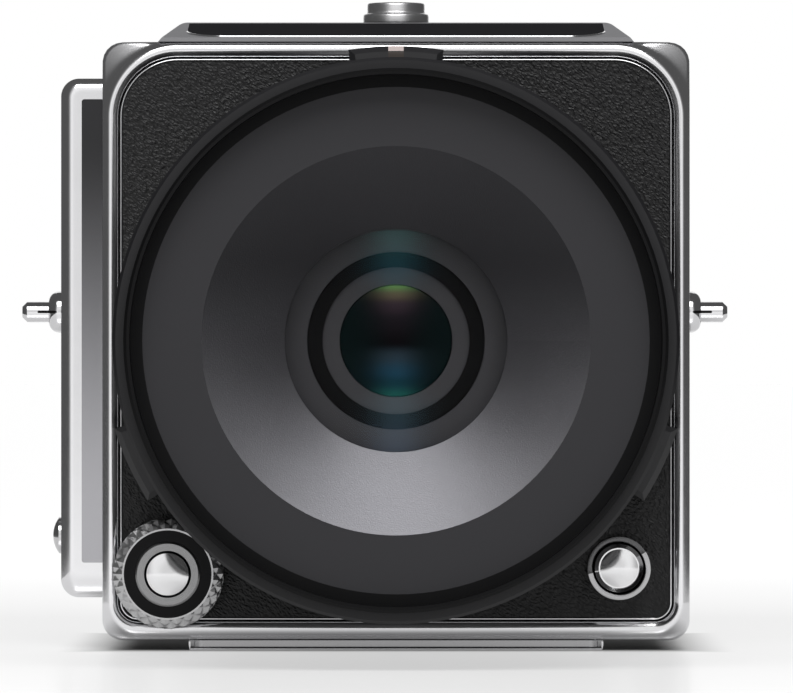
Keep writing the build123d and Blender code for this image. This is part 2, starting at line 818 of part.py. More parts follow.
with BuildPart() as inner_element:
    revolve(lens_element(cell_bore, cell_bore - glass_rim, cell_rear_y - inner_glass_depth,
                         inner_glass_depth, inner_glass_crown), axis=lens_axis)
finish(inner_element, "inner_element")

# Iris: blades in a stack, hung on pins in the front wall and driven by a slotted ring
iris_y = flange_y - iris_setback
stack_depth = blade_count * blade_pitch + gap
iris_cavity = stack_depth + drive_ring_depth + gap
ring_y = iris_y + stack_depth


def about_axis(radius, angle):
    """Point of the iris in front view, about the lens axis."""
    return (radius * math.cos(math.radians(angle)), radius * math.sin(math.radians(angle)))


def turn_point(point, centre, angle):
    """A point of the front view turned about another."""
    dx, dy = point[0] - centre[0], point[1] - centre[1]
    c, s = math.cos(math.radians(angle)), math.sin(math.radians(angle))
    return (centre[0] + dx * c - dy * s, centre[1] + dx * s + dy * c)


def blade_strip(start):
    """Curved strip of a blade with round ends, drawn about the lens axis."""
    with BuildSketch() as strip:
        SlotArc(CenterArc((0, 0), blade_mid_radius, start, blade_sweep_angle), blade_width)
    return strip.sketch


with BuildPart() as iris_housing:
    revolve(turned((iris_aperture, iris_y - iris_wall), (tube_bore, iris_y - iris_wall),
                   (tube_bore, iris_y + iris_cavity + iris_wall),
                   (iris_aperture, iris_y + iris_cavity + iris_wall),
                   (iris_aperture, iris_y + iris_cavity), (iris_bore, iris_y + iris_cavity),
                   (iris_bore, iris_y), (iris_aperture, iris_y)), axis=lens_axis)
    with BuildSketch(front_plane(iris_y, z=axis_z)):
        with PolarLocations(pivot_radius, blade_count):
            Circle(pin_radius + running)
    extrude(amount=iris_wall, mode=Mode.SUBTRACT)
finish(iris_housing, "iris_housing")

# Each drive pin runs in a slanted slot, from its open place to its closed one as the ring sees it
pin_open = about_axis(pivot_radius, -drive_lag_angle)
pin_closed = turn_point(turn_point(pin_open, about_axis(pivot_radius, 0), blade_turn_angle), (0, 0),
                        -drive_turn_angle)
slot_centre = ((pin_open[0] + pin_closed[0]) / 2, (pin_open[1] + pin_closed[1]) / 2)
slot_run = math.dist(pin_open, pin_closed)
slot_slant = math.degrees(math.atan2(pin_closed[1] - pin_open[1], pin_closed[0] - pin_open[0]))
with BuildPart() as iris_drive_ring:
    with BuildSketch(front_plane(ring_y + drive_ring_depth, z=axis_z)):
        Circle(iris_bore - running)
        Circle(drive_ring_inner, mode=Mode.SUBTRACT)
        for index in range(blade_count):
            with Locations(turn_point(slot_centre, (0, 0), index * 360 / blade_count)):
                SlotCenterToCenter(slot_run, 2 * (pin_radius + gap),
                                   rotation=slot_slant + index * 360 / blade_count, mode=Mode.SUBTRACT)
    extrude(amount=drive_ring_depth)
finish(iris_drive_ring, "iris_drive_ring")

for index in range(blade_count):
    turn = index * 360 / blade_count
    pivot = about_axis(pivot_radius, turn)
    drive = about_axis(pivot_radius, turn - drive_lag_angle)
    root_point = about_axis(blade_mid_radius, turn + blade_start_angle)
    blade_y = iris_y + gap + index * blade_pitch
    with BuildPart() as iris_blade:
        for pair in ((pivot, drive), (pivot, root_point)):
            with BuildSketch(front_plane(blade_y + blade_thickness, z=axis_z)):
                with Locations(*pair):
                    Circle(ear_radius)
                make_hull()
            extrude(amount=blade_thickness)
        extrude(on_axis(blade_strip(turn + blade_start_angle), blade_y + blade_thickness),
                amount=blade_thickness, dir=(0, -1, 0))
        with BuildSketch(front_plane(blade_y, z=axis_z)):
            with Locations(pivot):
                Circle(pin_radius)
        extrude(amount=blade_y - iris_y + iris_wall)
        with BuildSketch(front_plane(blade_y + blade_thickness, z=axis_z)):
            with Locations(drive):
                Circle(pin_radius)
        extrude(amount=-(ring_y + drive_ring_depth - blade_y - blade_thickness))
    finish(iris_blade, "iris_blade_" + str(index + 1))

# Rear cell and rear glass, inside the barrel and the spigot
rear_glass_y = plate_y + spigot_length - rear_glass_setback - rear_glass_depth
with BuildPart() as rear_element:
    revolve(lens_element(rear_glass_radius, rear_glass_radius - rear_wall, rear_glass_y,
                         rear_glass_depth, rear_glass_crown), axis=lens_axis)
finish(rear_element, "rear_element")

with BuildPart() as rear_cell:
    revolve(turned((rear_glass_radius - rear_wall, rear_glass_y - rear_glass_crown - rear_wall),
                   (tube_bore, rear_glass_y - rear_glass_crown - rear_wall), (tube_bore, seat_y),
                   (spigot_bore, seat_y), (spigot_bore, plate_y + spigot_length),
                   (rear_glass_radius, plate_y + spigot_length), (rear_glass_radius, rear_glass_y),
                   (rear_glass_radius - rear_wall, rear_glass_y)), axis=lens_axis)
finish(rear_cell, "rear_cell")

# Digital back: core, polished front band, covering and rear cover
back_mid_x = (back_right - back_left) / 2
battery_y = back_y + battery_setback
door_y = back_y + door_setback
catch_y = joint_y + catch_setback
catch_seat_z = back_top + catch_seat_height


def side_box(x_low, x_high, y_low, y_high, z_low, z_high, edge=0):
    """Straight box between limits, its edges along X rounded when an edge is given."""
    with BuildSketch(Plane.YZ.offset(x_low)) as outline:
        with Locations(((y_low + y_high) / 2, (z_low + z_high) / 2)):
            if edge:
                RectangleRounded(y_high - y_low, z_high - z_low, edge)
            else:
                Rectangle(y_high - y_low, z_high - z_low)
    return extrude(outline.sketch, amount=x_high - x_low, dir=(1, 0, 0), mode=Mode.PRIVATE)


battery_box = dict(y_low=battery_y - gap, y_high=battery_y + battery_depth + gap,
                   z_low=battery_z - battery_height / 2 - gap,
                   z_high=battery_z + battery_height / 2 + gap)
latch_z = battery_z - battery_height / 2 - latch_offset
latch_y = battery_y + battery_depth / 2


def door_box(z, sink, grow):
    """Cut for a side door or for the pocket behind it."""
    return side_box(back_right - sink, back_right + overrun, door_y - grow,
                    door_y + door_width + grow, z - door_height / 2 - grow,
                    z + door_height / 2 + grow)


def side_cuts():
    """Everything let into the sides of the back: battery bay, latch groove and door pockets."""
    bay = side_box(-back_left - overrun, battery_length + gap - back_left, edge=battery_round,
                   **battery_box)
    groove = side_box(-back_left - overrun, latch_stem_length + gap - back_left,
                      latch_y - latch_stem / 2 - slip, latch_y + latch_stem / 2 + slip,
                      latch_z - latch_stem / 2 - slip, latch_z + latch_stem / 2 + latch_travel + slip)
    cuts = [bay, groove]
    for door_z in (card_door_z, port_door_z):
        cuts.append(door_box(door_z, door_thickness + gap, gap))
        cuts.append(door_box(door_z, door_thickness + door_pocket, -door_pocket_wall))
    return cuts


def hinge_edge():
    """Cut that rounds the lower front edge of the back about the axis on which it swings."""
    with BuildSketch(Plane.YZ.offset(-back_left - overrun)) as outline:
        with Locations((hinge_y, hinge_z)):
            Rectangle(overrun, overrun, align=(Align.MAX, Align.MAX))
            Circle(hinge_round, mode=Mode.SUBTRACT)
    return extrude(outline.sketch, amount=back_left + back_right + 2 * overrun, dir=(1, 0, 0),
                   mode=Mode.PRIVATE)


def foot_pockets():
    """Pockets in the front of the back for the two feet and the keeper of the housing."""
    with BuildSketch(front_plane(back_y)) as outline:
        with Locations((-hook_spacing / 2, hinge_z), (hook_spacing / 2, hinge_z), (0, keeper_z)):
            Rectangle(keeper_width + 2 * gap, hook_height + 2 * swing_clearance)
    return extrude(outline.sketch, amount=hinge_round + hook_height / 2 + gap, dir=(0, 1, 0),
                   mode=Mode.PRIVATE)


def catch_track(low_z, high_z, radius):
    """Upright block between two heights, as long as the release slides and round at its ends."""
    with BuildSketch(Plane.XY.offset(low_z)) as outline:
        with Locations((catch_travel / 2, catch_y)):
            SlotCenterToCenter(catch_travel, 2 * radius)
    return extrude(outline.sketch, amount=high_z - low_z, mode=Mode.PRIVATE)


with BuildPart() as back_housing:
    extrude(on_front(back_outline(skin), back_rear_y), amount=back_depth, dir=(0, -1, 0))
    for cut in side_cuts():
        add(cut, mode=Mode.SUBTRACT)
    add(catch_track(back_top - skin, catch_seat_z, catch_seat_radius))
    add(catch_track(catch_seat_z - catch_stem_length - gap, catch_seat_z + overrun, catch_stem + slip),
        mode=Mode.SUBTRACT)
    add(hinge_edge(), mode=Mode.SUBTRACT)
    add(foot_pockets(), mode=Mode.SUBTRACT)
    # card slots and sockets behind the two doors
    socket_x = back_right - door_thickness - door_pocket
    with BuildSketch(Plane.YZ.offset(socket_x)):
        with Locations((door_y + door_width / 2 - socket_spacing / 2, card_door_z),
                       (door_y + door_width / 2 + socket_spacing / 2, card_door_z)):
            Rectangle(slot_width, slot_height)
        with Locations((door_y + door_width / 2, port_door_z - socket_spacing / 2),
                       (door_y + door_width / 2, port_door_z + socket_spacing / 2)):
            RectangleRounded(socket_width, socket_height, socket_height / 2 - slip)
    extrude(amount=-slot_depth, mode=Mode.SUBTRACT)
finish(back_housing, "back_housing")

with BuildPart() as back_trim:
    extrude(on_front(back_outline(0), trim_y), amount=trim_depth, dir=(0, -1, 0))
    extrude(on_front(back_outline(skin), trim_y), amount=trim_depth, dir=(0, -1, 0),
            mode=Mode.SUBTRACT)
    add(hinge_edge(), mode=Mode.SUBTRACT)
    add(foot_pockets(), mode=Mode.SUBTRACT)
finish(back_trim, "back_trim")

with BuildPart() as back_leather:
    extrude(on_front(back_outline(0), back_rear_y), amount=back_depth - trim_depth, dir=(0, -1, 0))
    extrude(on_front(back_outline(skin), back_rear_y), amount=back_depth - trim_depth,
            dir=(0, -1, 0), mode=Mode.SUBTRACT)
    for cut in side_cuts():
        add(cut, mode=Mode.SUBTRACT)
    add(catch_track(back_top - skin, back_top + overrun, catch_seat_radius + slip), mode=Mode.SUBTRACT)
finish(back_leather, "back_leather")

sensor_y = flange_y + flange_to_sensor
with BuildPart() as sensor_frame:
    with BuildSketch(front_plane(back_y, z=axis_z)):
        RectangleRounded(sensor_block_width, sensor_block_height, sensor_block_corner)
    extrude(amount=back_y - sensor_y + sensor_recess)
    with BuildSketch(front_plane(sensor_y + sensor_pocket, z=axis_z)):
        Rectangle(sensor_width, sensor_height)
    extrude(amount=sensor_pocket + overrun, mode=Mode.SUBTRACT)
finish(sensor_frame, "sensor_frame")

with BuildPart() as sensor_glass:
    with BuildSketch(front_plane(sensor_y + sensor_pocket, z=axis_z)):
        Rectangle(sensor_width, sensor_height)
    extrude(amount=sensor_pocket)
finish(sensor_glass, "sensor_glass")

# Rear cover: holds the screen in a pocket and the row of buttons below it
screen_top_z = back_top - screen_top_margin
screen_mid_z = screen_top_z - screen_height / 2
screen_rear_y = rear_y - screen_sink
screen_front_y = screen_rear_y - screen_thickness
pivot_y = screen_rear_y - screen_thickness / 2
pivot_z = screen_top_z - screen_thickness / 2
key_xs = [back_mid_x + (place - (key_count - 1) / 2) * key_spacing for place in range(key_count)]


def rear_plane(y, x=0, z=0):
    """Plane that looks out of the rear and extrudes towards +Y."""
    return Plane(origin=(x, y, z), x_dir=(-1, 0, 0), z_dir=(0, 1, 0))


with BuildPart() as rear_cover:
    extrude(on_front(back_outline(0), rear_y), amount=rear_cover_depth, dir=(0, -1, 0))
    fillet(rear_cover.faces().sort_by(Axis.Y)[-1].edges(), rear_cover_round)
    with BuildSketch(rear_plane(screen_front_y - gap, back_mid_x, screen_mid_z)):
        Rectangle(screen_width + 2 * gap, screen_height + 2 * gap)
    extrude(amount=screen_thickness + overrun, mode=Mode.SUBTRACT)
    with BuildSketch(Plane.YZ.offset(back_mid_x - screen_width / 2 - screen_pin_reach - gap)):
        with Locations((pivot_y, pivot_z)):
            Circle(screen_pin + running)
    extrude(amount=screen_width + 2 * (screen_pin_reach + gap), mode=Mode.SUBTRACT)
    with BuildSketch(front_plane(rear_y)):
        with Locations(*[(x, key_z) for x in key_xs]):
            Circle(key_radius + slip)
    extrude(amount=key_depth + key_travel + gap - key_lift, mode=Mode.SUBTRACT)
finish(rear_cover, "rear_cover")

with BuildPart() as screen_frame:
    with BuildSketch(rear_plane(screen_front_y, back_mid_x, screen_mid_z)):
        Rectangle(screen_width, screen_height)
    extrude(amount=screen_thickness)
    fillet(screen_frame.faces().sort_by(Axis.Z)[-1].edges().filter_by(Axis.X),
           screen_thickness / 2 - slip)
    fillet(screen_frame.faces().sort_by(Axis.Z)[0].edges().filter_by(Axis.Y), screen_corner)
    with BuildSketch(rear_plane(screen_rear_y - screen_glass_depth, back_mid_x, screen_mid_z)):
        Rectangle(screen_width - 2 * screen_glass_margin, screen_height - 2 * screen_thickness)
    extrude(amount=screen_glass_depth, mode=Mode.SUBTRACT)
    with BuildSketch(Plane.YZ.offset(back_mid_x - screen_width / 2 - screen_pin_reach)):
        with Locations((pivot_y, pivot_z)):
            Circle(screen_pin)
    extrude(amount=screen_width + 2 * screen_pin_reach)
finish(screen_frame, "screen_frame")

with BuildPart() as screen_glass:
    with BuildSketch(rear_plane(screen_rear_y - screen_glass_depth, back_mid_x, screen_mid_z)):
        Rectangle(screen_width - 2 * screen_glass_margin, screen_height - 2 * screen_thickness)
    extrude(amount=screen_glass_depth)
finish(screen_glass, "screen_glass")

for place, key_x in enumerate(key_xs):
    with BuildPart() as rear_button:
        with BuildSketch(rear_plane(rear_y + key_lift - key_depth, key_x, key_z)):
            Circle(key_radius)
        extrude(amount=key_depth)
        chamfer(rear_button.faces().sort_by(Axis.Y)[-1].edges(), key_edge)
    finish(rear_button, "rear_button_" + str(place + 1))

# Rubber foot under the rear of the back
with BuildPart() as rear_foot:
    with BuildSketch():
        with Locations((back_mid_x, back_rear_y - foot_inset)):
            RectangleRounded(foot_width, foot_depth, foot_depth / 2 - slip)
    extrude(amount=back_bottom)
finish(rear_foot, "rear_foot")

# Release of the back: a two-step button that slides along the top
catch_z = catch_seat_z + gap
with BuildPart() as back_release:
    with BuildSketch(Plane.XY.offset(catch_z)):
        with Locations((0, catch_y)):
            Circle(catch_low_radius)
    extrude(amount=catch_low_height)
    with BuildSketch(Plane.XY.offset(catch_z + catch_low_height)):
        with Locations((0, catch_y)):
            Circle(catch_top_radius)
    extrude(amount=catch_top_height)
    chamfer(back_release.faces().sort_by(Axis.Z)[-1].edges(), catch_edge)
    with BuildSketch(Plane.XY.offset(catch_z - catch_stem_length)):
        with Locations((0, catch_y)):
            Circle(catch_stem)
    extrude(amount=catch_stem_length)
finish(back_release, "back_release")

# Battery and its latch, on the same side as the body's side cover
with BuildPart() as battery:
    add(side_box(-back_left, battery_length - back_left, battery_y, battery_y + battery_depth,
                 battery_z - battery_height / 2, battery_z + battery_height / 2,
                 edge=battery_round))
finish(battery, "battery")

with BuildPart() as battery_latch:
    add(side_box(-back_left - gap - latch_lift, -back_left - gap, latch_y - latch_width / 2,
                 latch_y + latch_width / 2, latch_z - latch_height / 2, latch_z + latch_height / 2,
                 edge=latch_stem / 2))
    add(side_box(-back_left - gap, latch_stem_length - back_left - gap, latch_y - latch_stem / 2,
                 latch_y + latch_stem / 2, latch_z - latch_stem / 2, latch_z + latch_stem / 2))
finish(battery_latch, "battery_latch")

# Two doors that lie flush in the side, each round along its hinge edge
for door_name, door_z in (("card_door", card_door_z), ("port_door", port_door_z)):
    with BuildPart() as door:
        add(side_box(back_right - door_thickness, back_right, door_y, door_y + door_width,
                     door_z - door_height / 2, door_z + door_height / 2))
        hinge_edges = door.edges().filter_by(Axis.Z).group_by(Axis.Y)[0]
        fillet(hinge_edges, door_thickness / 2 - slip / 2)
    finish(door, door_name)
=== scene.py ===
# %% [markdown]
# This lesson dresses a medium format digital camera: a thin body with a polished frame, a wide
# lens in front and a digital back behind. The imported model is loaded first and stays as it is.
# It holds every solid at its real size, so each new surface can take its place from a solid.

# %% Load the model
import json
import math

import bmesh
import bpy
import numpy as np
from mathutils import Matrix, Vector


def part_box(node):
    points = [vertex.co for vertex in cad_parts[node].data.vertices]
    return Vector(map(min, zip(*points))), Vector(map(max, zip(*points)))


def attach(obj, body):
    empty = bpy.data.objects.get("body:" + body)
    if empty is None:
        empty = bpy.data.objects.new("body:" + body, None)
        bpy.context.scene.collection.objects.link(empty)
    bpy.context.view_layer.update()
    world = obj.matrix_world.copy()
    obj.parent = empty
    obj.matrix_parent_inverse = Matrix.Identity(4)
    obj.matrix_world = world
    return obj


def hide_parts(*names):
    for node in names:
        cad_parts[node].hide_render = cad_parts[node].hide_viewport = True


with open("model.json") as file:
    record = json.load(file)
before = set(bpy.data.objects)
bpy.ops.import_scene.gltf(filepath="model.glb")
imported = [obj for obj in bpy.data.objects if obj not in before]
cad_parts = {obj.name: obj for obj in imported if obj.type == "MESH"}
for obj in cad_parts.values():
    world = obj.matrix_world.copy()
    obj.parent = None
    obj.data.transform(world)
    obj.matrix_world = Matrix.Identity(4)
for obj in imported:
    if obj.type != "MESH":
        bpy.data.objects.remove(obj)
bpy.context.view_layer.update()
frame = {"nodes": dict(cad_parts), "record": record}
nodes = frame["nodes"]
print("solids:", len(nodes))

# %% [markdown]
# Blender counts in metres, but a camera is thought of in millimetres, so one value turns the
# one into the other. The lens axis and the face of the frame are read from the solids, because
# almost everything else is placed from these two.

# %% Units and the two places that the rest is built from
MM = 0.001
frame_low, frame_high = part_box("front_frame")
barrel_low, barrel_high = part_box("lens_barrel")
face_y = frame_low.y
axis_z = (barrel_low.z + barrel_high.z) / 2
print("lens axis at", round(axis_z / MM, 2), "mm, frame face at", round(face_y / MM, 2), "mm")

# %% [markdown]
# The view is straight from the front with a long lens, which shows the lens barrel as a disc
# that hides most of the panel. A pinhole camera is set by two facts: how far away it stands,
# and how many pixels a millimetre of the frame's face takes.

# %% Camera
image_width = 793
image_height = 693
axis_column = 396.0
axis_row = 341.0
pixels_per_metre = 7000.0
camera_distance = 1.150
sensor_width = 36.0

camera_data = bpy.data.cameras.new("view_camera")
camera_data.sensor_width = sensor_width
camera_data.lens = sensor_width * pixels_per_metre * camera_distance / image_width
camera = bpy.data.objects.new("view_camera", camera_data)
camera.location = (
    (image_width / 2 - axis_column) / pixels_per_metre,
    face_y - camera_distance,
    axis_z - (image_height / 2 - axis_row) / pixels_per_metre,
)
camera.rotation_euler = (math.radians(90), 0, 0)
bpy.context.scene.collection.objects.link(camera)
bpy.context.scene.camera = camera
bpy.context.scene.view_settings.view_transform = "Standard"
print("focal length", round(camera_data.lens, 1), "mm")


# %% [markdown]
# Shaders are built from nodes. A few small helpers keep that readable: they add a node and set
# its inputs, link a socket or set a number, and do one step of arithmetic. The kinds of node
# that come up most have a helper of their own.

# %% Node helpers
def connect(tree, value, socket):
    """Links an output to a socket, or sets the socket to a plain value."""
    if isinstance(value, bpy.types.NodeSocket):
        tree.links.new(value, socket)
    else:
        socket.default_value = value


def add_node(tree, kind, inputs=None, **settings):
    """Adds a node, sets its properties, and links or sets the inputs given by name or place."""
    node = tree.nodes.new(kind)
    for key, value in settings.items():
        setattr(node, key, value)
    for key, value in (inputs or {}).items():
        connect(tree, value, node.inputs[key])
    return node


def arithmetic(tree, operation, first, second=0.0):
    """One step of arithmetic on two values."""
    return add_node(tree, "ShaderNodeMath", {0: first, 1: second}, operation=operation).outputs[0]


def product(tree, first, *others):
    """All the values multiplied together."""
    for other in others:
        first = arithmetic(tree, "MULTIPLY", first, other)
    return first


def weigh(tree, first, first_share, second, second_share):
    """Two values, each times its share, added up."""
    return arithmetic(tree, "ADD", product(tree, first, first_share), product(tree, second, second_share))


def vector_step(tree, operation, inputs, result=0):
    """One step of arithmetic on places or colours."""
    return add_node(tree, "ShaderNodeVectorMath", inputs, operation=operation).outputs[result]


def parts_of(tree, place):
    """The X, Y and Z of a place."""
    return add_node(tree, "ShaderNodeSeparateXYZ", {0: place}).outputs


def stretch(tree, value, start, end, low=0.0, high=1.0, curve="LINEAR"):
    """Takes the values from start to end to those from low to high, and holds them beyond."""
    return add_node(tree, "ShaderNodeMapRange", {"Value": value, "From Min": start, "From Max": end,
                                                 "To Min": low, "To Max": high},
                    interpolation_type=curve).outputs["Result"]


def noise(tree, place, scale, detail, roughness=0.5):
    """Soft noise over a place."""
    return add_node(tree, "ShaderNodeTexNoise", {"Vector": place, "Scale": scale, "Detail": detail,
                                                 "Roughness": roughness}).outputs[0]


def blend_colours(tree, share, first, second):
    """A colour that goes from the first to the second as the share goes from 0 to 1."""
    return add_node(tree, "ShaderNodeMix", {0: share, 6: first, 7: second}, data_type="RGBA").outputs[2]


def new_material(name, emptied=False):
    """A material, its node tree and the place on the object that its effects read."""
    material = bpy.data.materials.new(name)
    material.use_nodes = True
    tree = material.node_tree
    if emptied:
        tree.nodes.clear()
    return material, tree, add_node(tree, "ShaderNodeTexCoord").outputs["Object"]


# %% [markdown]
# The light is a studio for polished metal. The world is white for the rays that look at it
# straight, in a mirror or through glass, and only a dim fill for the rest. One soft box hangs
# in front and above, so the lens throws its shadow down over the panel.

# %% World
world = bpy.data.worlds.new("studio")
bpy.context.scene.world = world
world.use_nodes = True
tree = world.node_tree
tree.nodes.clear()
ambient_level = 0.20


def background_rays(tree):
    """1 for rays that should see the white background: camera, glossy and transmission rays."""
    rays = add_node(tree, "ShaderNodeLightPath").outputs
    seen = arithmetic(tree, "MAXIMUM", rays["Is Camera Ray"], rays["Is Glossy Ray"])
    return arithmetic(tree, "MAXIMUM", seen, rays["Is Transmission Ray"])


level = stretch(tree, background_rays(tree), 0.0, 1.0, ambient_level, 1.0)
background = add_node(tree, "ShaderNodeBackground", {"Color": (1, 1, 1, 1), "Strength": level})
add_node(tree, "ShaderNodeOutputWorld", {"Surface": background.outputs[0]})
print("world: white behind, level", ambient_level, "on the object")

# %% Soft box
box_width = 0.50
box_depth = 0.30
box_distance = 0.50
box_elevation = math.radians(54)
box_radiance = 4.6

lamp_data = bpy.data.lights.new("soft_box", "AREA")
lamp_data.shape = "RECTANGLE"
lamp_data.size = box_width
lamp_data.size_y = box_depth
lamp_data.energy = box_radiance * math.pi * box_width * box_depth
lamp = bpy.data.objects.new("soft_box", lamp_data)
lamp.location = (
    0,
    barrel_low.y - box_distance * math.cos(box_elevation),
    axis_z + box_distance * math.sin(box_elevation),
)
lamp.rotation_euler = (math.radians(90) - box_elevation, 0, 0)
bpy.context.scene.collection.objects.link(lamp)
print("soft box of", round(lamp_data.energy, 2), "W")


# %% [markdown]
# The floor is pale and slightly glossy. Its matt part gets what the lamp gives and keeps the shadow. Most of
# its white is a glow that only the background's rays see, a little stronger far away, so it meets the
# background without a line. Under the body the glow stops, a painted shadow that leaves the gap there dark. A
# fixed share of blurred gloss gives the faint reflection.

# %% Floor
def flat_sheet(name, low, high):
    """One rectangle between two opposite corners, which differ along two of the axes."""
    first, second = [axis for axis in range(3) if low[axis] != high[axis]]
    corners = np.array([low] * 4, dtype=float)
    corners[1:3, first] = high[first]
    corners[2:, second] = high[second]
    mesh = bpy.data.meshes.new(name)
    mesh.from_pydata(corners.tolist(), [], [(0, 1, 2, 3)])
    sheet = bpy.data.objects.new(name, mesh)
    bpy.context.scene.collection.objects.link(sheet)
    return sheet


floor_reach = 8.0
floor_colour = (0.36, 0.36, 0.36, 1)
near_white = 0.78
far_white = 1.0
white_start = 0.14
white_end = 0.40
gloss_share = 0.26
gloss_blur = 0.20
painted_shadow_half_width = 0.037
painted_shadow_front = -0.006
painted_shadow_rear = 0.050
painted_shadow_edge = 0.012
fill_start = 0.012
fill_end = 0.030
fill_level = 0.55

floor = flat_sheet("floor", (-floor_reach, -floor_reach, 0), (floor_reach, floor_reach, 0))
floor_finish, tree, place = new_material("floor_white", True)
distance = vector_step(tree, "LENGTH", {0: place}, "Value")
white = stretch(tree, distance, white_start, white_end, near_white, far_white)
parts = parts_of(tree, place)
# The glow stops in a box under the body, which paints the shadow there.
beside = arithmetic(tree, "SUBTRACT", arithmetic(tree, "ABSOLUTE", parts["X"]), painted_shadow_half_width)
behind = arithmetic(tree, "SUBTRACT", parts["Y"], painted_shadow_rear)
before = arithmetic(tree, "SUBTRACT", painted_shadow_front, parts["Y"])
outside = arithmetic(tree, "MAXIMUM", beside, arithmetic(tree, "MAXIMUM", behind, before))
glow_outside_painted_shadow = stretch(tree, outside, 0.0, painted_shadow_edge, curve="SMOOTHSTEP")
shown = product(tree, white, background_rays(tree), glow_outside_painted_shadow)
in_front = stretch(tree, product(tree, parts["Y"], -1.0), fill_start, fill_end, curve="SMOOTHSTEP")
glossy_ray = add_node(tree, "ShaderNodeLightPath").outputs["Is Glossy Ray"]
fill = product(tree, in_front, glossy_ray, fill_level)
shown = arithmetic(tree, "MAXIMUM", shown, fill)
matt = add_node(tree, "ShaderNodeBsdfDiffuse", {"Color": floor_colour}).outputs[0]
glow = add_node(tree, "ShaderNodeEmission", {"Strength": shown}).outputs[0]
base = add_node(tree, "ShaderNodeAddShader", {0: matt, 1: glow}).outputs[0]
gloss = add_node(tree, "ShaderNodeBsdfGlossy", {"Roughness": gloss_blur}).outputs[0]
surface = add_node(tree, "ShaderNodeMixShader", {0: gloss_share, 1: base, 2: gloss}).outputs[0]
add_node(tree, "ShaderNodeOutputMaterial", {"Surface": surface})
floor.data.materials.append(floor_finish)
print("floor white", near_white, "to", far_white)


# %% [markdown]
# Polished metal shows only what is round it, so a photographer stands cards beside it. Dark
# ones at the sides and above draw the dark lines along every rounded edge. A screen in front is
# a little darker about the lens axis, which greys what faces the viewer. Only glossy rays see
# them, so they shade nothing.

# %% Cards for the metal
card_distance = 0.22
card_rear = 0.50
card_height = 0.52
card_level = 0.09
card_bright = 1.0
side_bright_y = -0.60
side_dark_y = -0.17
ceiling_bright_y = -1.00
ceiling_dark_y = -0.36
screen_y = -1.45
screen_reach = 0.60
screen_level = 0.80
screen_dark_radius = 0.16
screen_bright_radius = 0.48


def card_finish(name, value_of_place, start, end, levels):
    """A glow that goes from one level to the other as the value of the place does."""
    finish, tree, place = new_material(name, True)
    fade = stretch(tree, value_of_place(tree, place), start, end, *levels, curve="SMOOTHSTEP")
    glow = add_node(tree, "ShaderNodeEmission", {"Strength": fade}).outputs[0]
    add_node(tree, "ShaderNodeOutputMaterial", {"Surface": glow})
    return finish


def along_y(tree, place):
    """The place along Y."""
    return parts_of(tree, place)["Y"]


def off_axis(tree, place):
    """Distance from the lens axis."""
    flat = vector_step(tree, "MULTIPLY", {0: place, 1: (1, 0, 1)})
    return vector_step(tree, "DISTANCE", {0: flat, 1: (0, 0, axis_z)}, "Value")


def glossy_card(name, low, high, finish):
    """A sheet that only reflections see."""
    card = flat_sheet(name, low, high)
    card.data.materials.append(finish)
    card.visible_camera = False
    card.visible_diffuse = False
    card.visible_transmission = False
    card.visible_shadow = False


dark_card = (card_bright, card_level)
side_finish = card_finish("side_card", along_y, side_bright_y, side_dark_y, dark_card)
ceiling_finish = card_finish("ceiling_card", along_y, ceiling_bright_y, ceiling_dark_y, dark_card)
screen_finish = card_finish("grey_screen", off_axis, screen_dark_radius, screen_bright_radius,
                            (screen_level, 1.0))
for name, x in (("card_left", -card_distance), ("card_right", card_distance)):
    glossy_card(name, (x, side_bright_y, 0), (x, card_rear, card_height), side_finish)
glossy_card("card_ceiling", (-card_distance, ceiling_bright_y, card_height),
            (card_distance, card_rear, card_height), ceiling_finish)
glossy_card("grey_screen", (-screen_reach, screen_y, 0), (screen_reach, screen_y, screen_reach),
            screen_finish)
print("three cards and a grey screen")


# %% [markdown]
# A surface finish is more than a colour: turned aluminium has fine rings, anodising has a
# speckle, leatherette has pebbles and polished metal has faint wipe marks. Each of these is a
# node group, built once, that takes the place on the object in millimetres and gives a mask
# between 0 and 1 and a height. The finishes below use them with their own values.

# %% Effect groups
def new_effect(name, inputs):
    """An empty group with a place, a grain size and further inputs, and a mask and a height out."""
    group = bpy.data.node_groups.new(name, "ShaderNodeTree")
    sockets = [("Place", "NodeSocketVector", None), ("Grain", "NodeSocketFloat", 1.0)] + inputs
    for label, kind, value in sockets:
        socket = group.interface.new_socket(name=label, in_out="INPUT", socket_type=kind)
        if value is not None:
            socket.default_value = value
    for label in ("Mask", "Height"):
        group.interface.new_socket(name=label, in_out="OUTPUT", socket_type="NodeSocketFloat")
    entry = group.nodes.new("NodeGroupInput").outputs
    return group, entry, vector_step(group, "SCALE", {0: entry["Place"], "Scale": 1 / MM})


def close_effect(group, mask, height):
    """Links the two results to the group's outputs."""
    outputs = group.nodes.new("NodeGroupOutput").inputs
    group.links.new(mask, outputs["Mask"])
    group.links.new(height, outputs["Height"])
    return group


def turned_place(group, place, scale, turn=(0.0, 0.0, 0.0)):
    """The place scaled along each axis and then turned, which draws a pattern out."""
    inputs = {"Vector": place, "Rotation": turn, "Scale": scale}
    return add_node(group, "ShaderNodeMapping", inputs).outputs[0]


def make_speckle():
    """Fine even noise, as on anodised or sprayed metal, over a slow change."""
    group, entry, place = new_effect("speckle", [])
    fine = noise(group, place, entry["Grain"], 2.0, 0.6)
    slow = noise(group, place, 0.05, 3.0)
    return close_effect(group, weigh(group, fine, 0.6, slow, 0.4), fine)


def make_wipe_marks():
    """Faint long scratches in two directions, over slow smudges."""
    group, entry, place = new_effect("wipe_marks", [])
    across = turned_place(group, place, (0.06, 1.0, 1.7))
    along = turned_place(group, place, (1.6, 1.2, 0.05), (0.3, 0.9, 0.2))
    first = noise(group, across, entry["Grain"], 3.0)
    second = noise(group, along, entry["Grain"], 3.0)
    smudge = noise(group, place, 0.12, 4.0, 0.65)
    height = product(group, first, second)
    return close_effect(group, weigh(group, smudge, 0.7, height, 0.3), height)


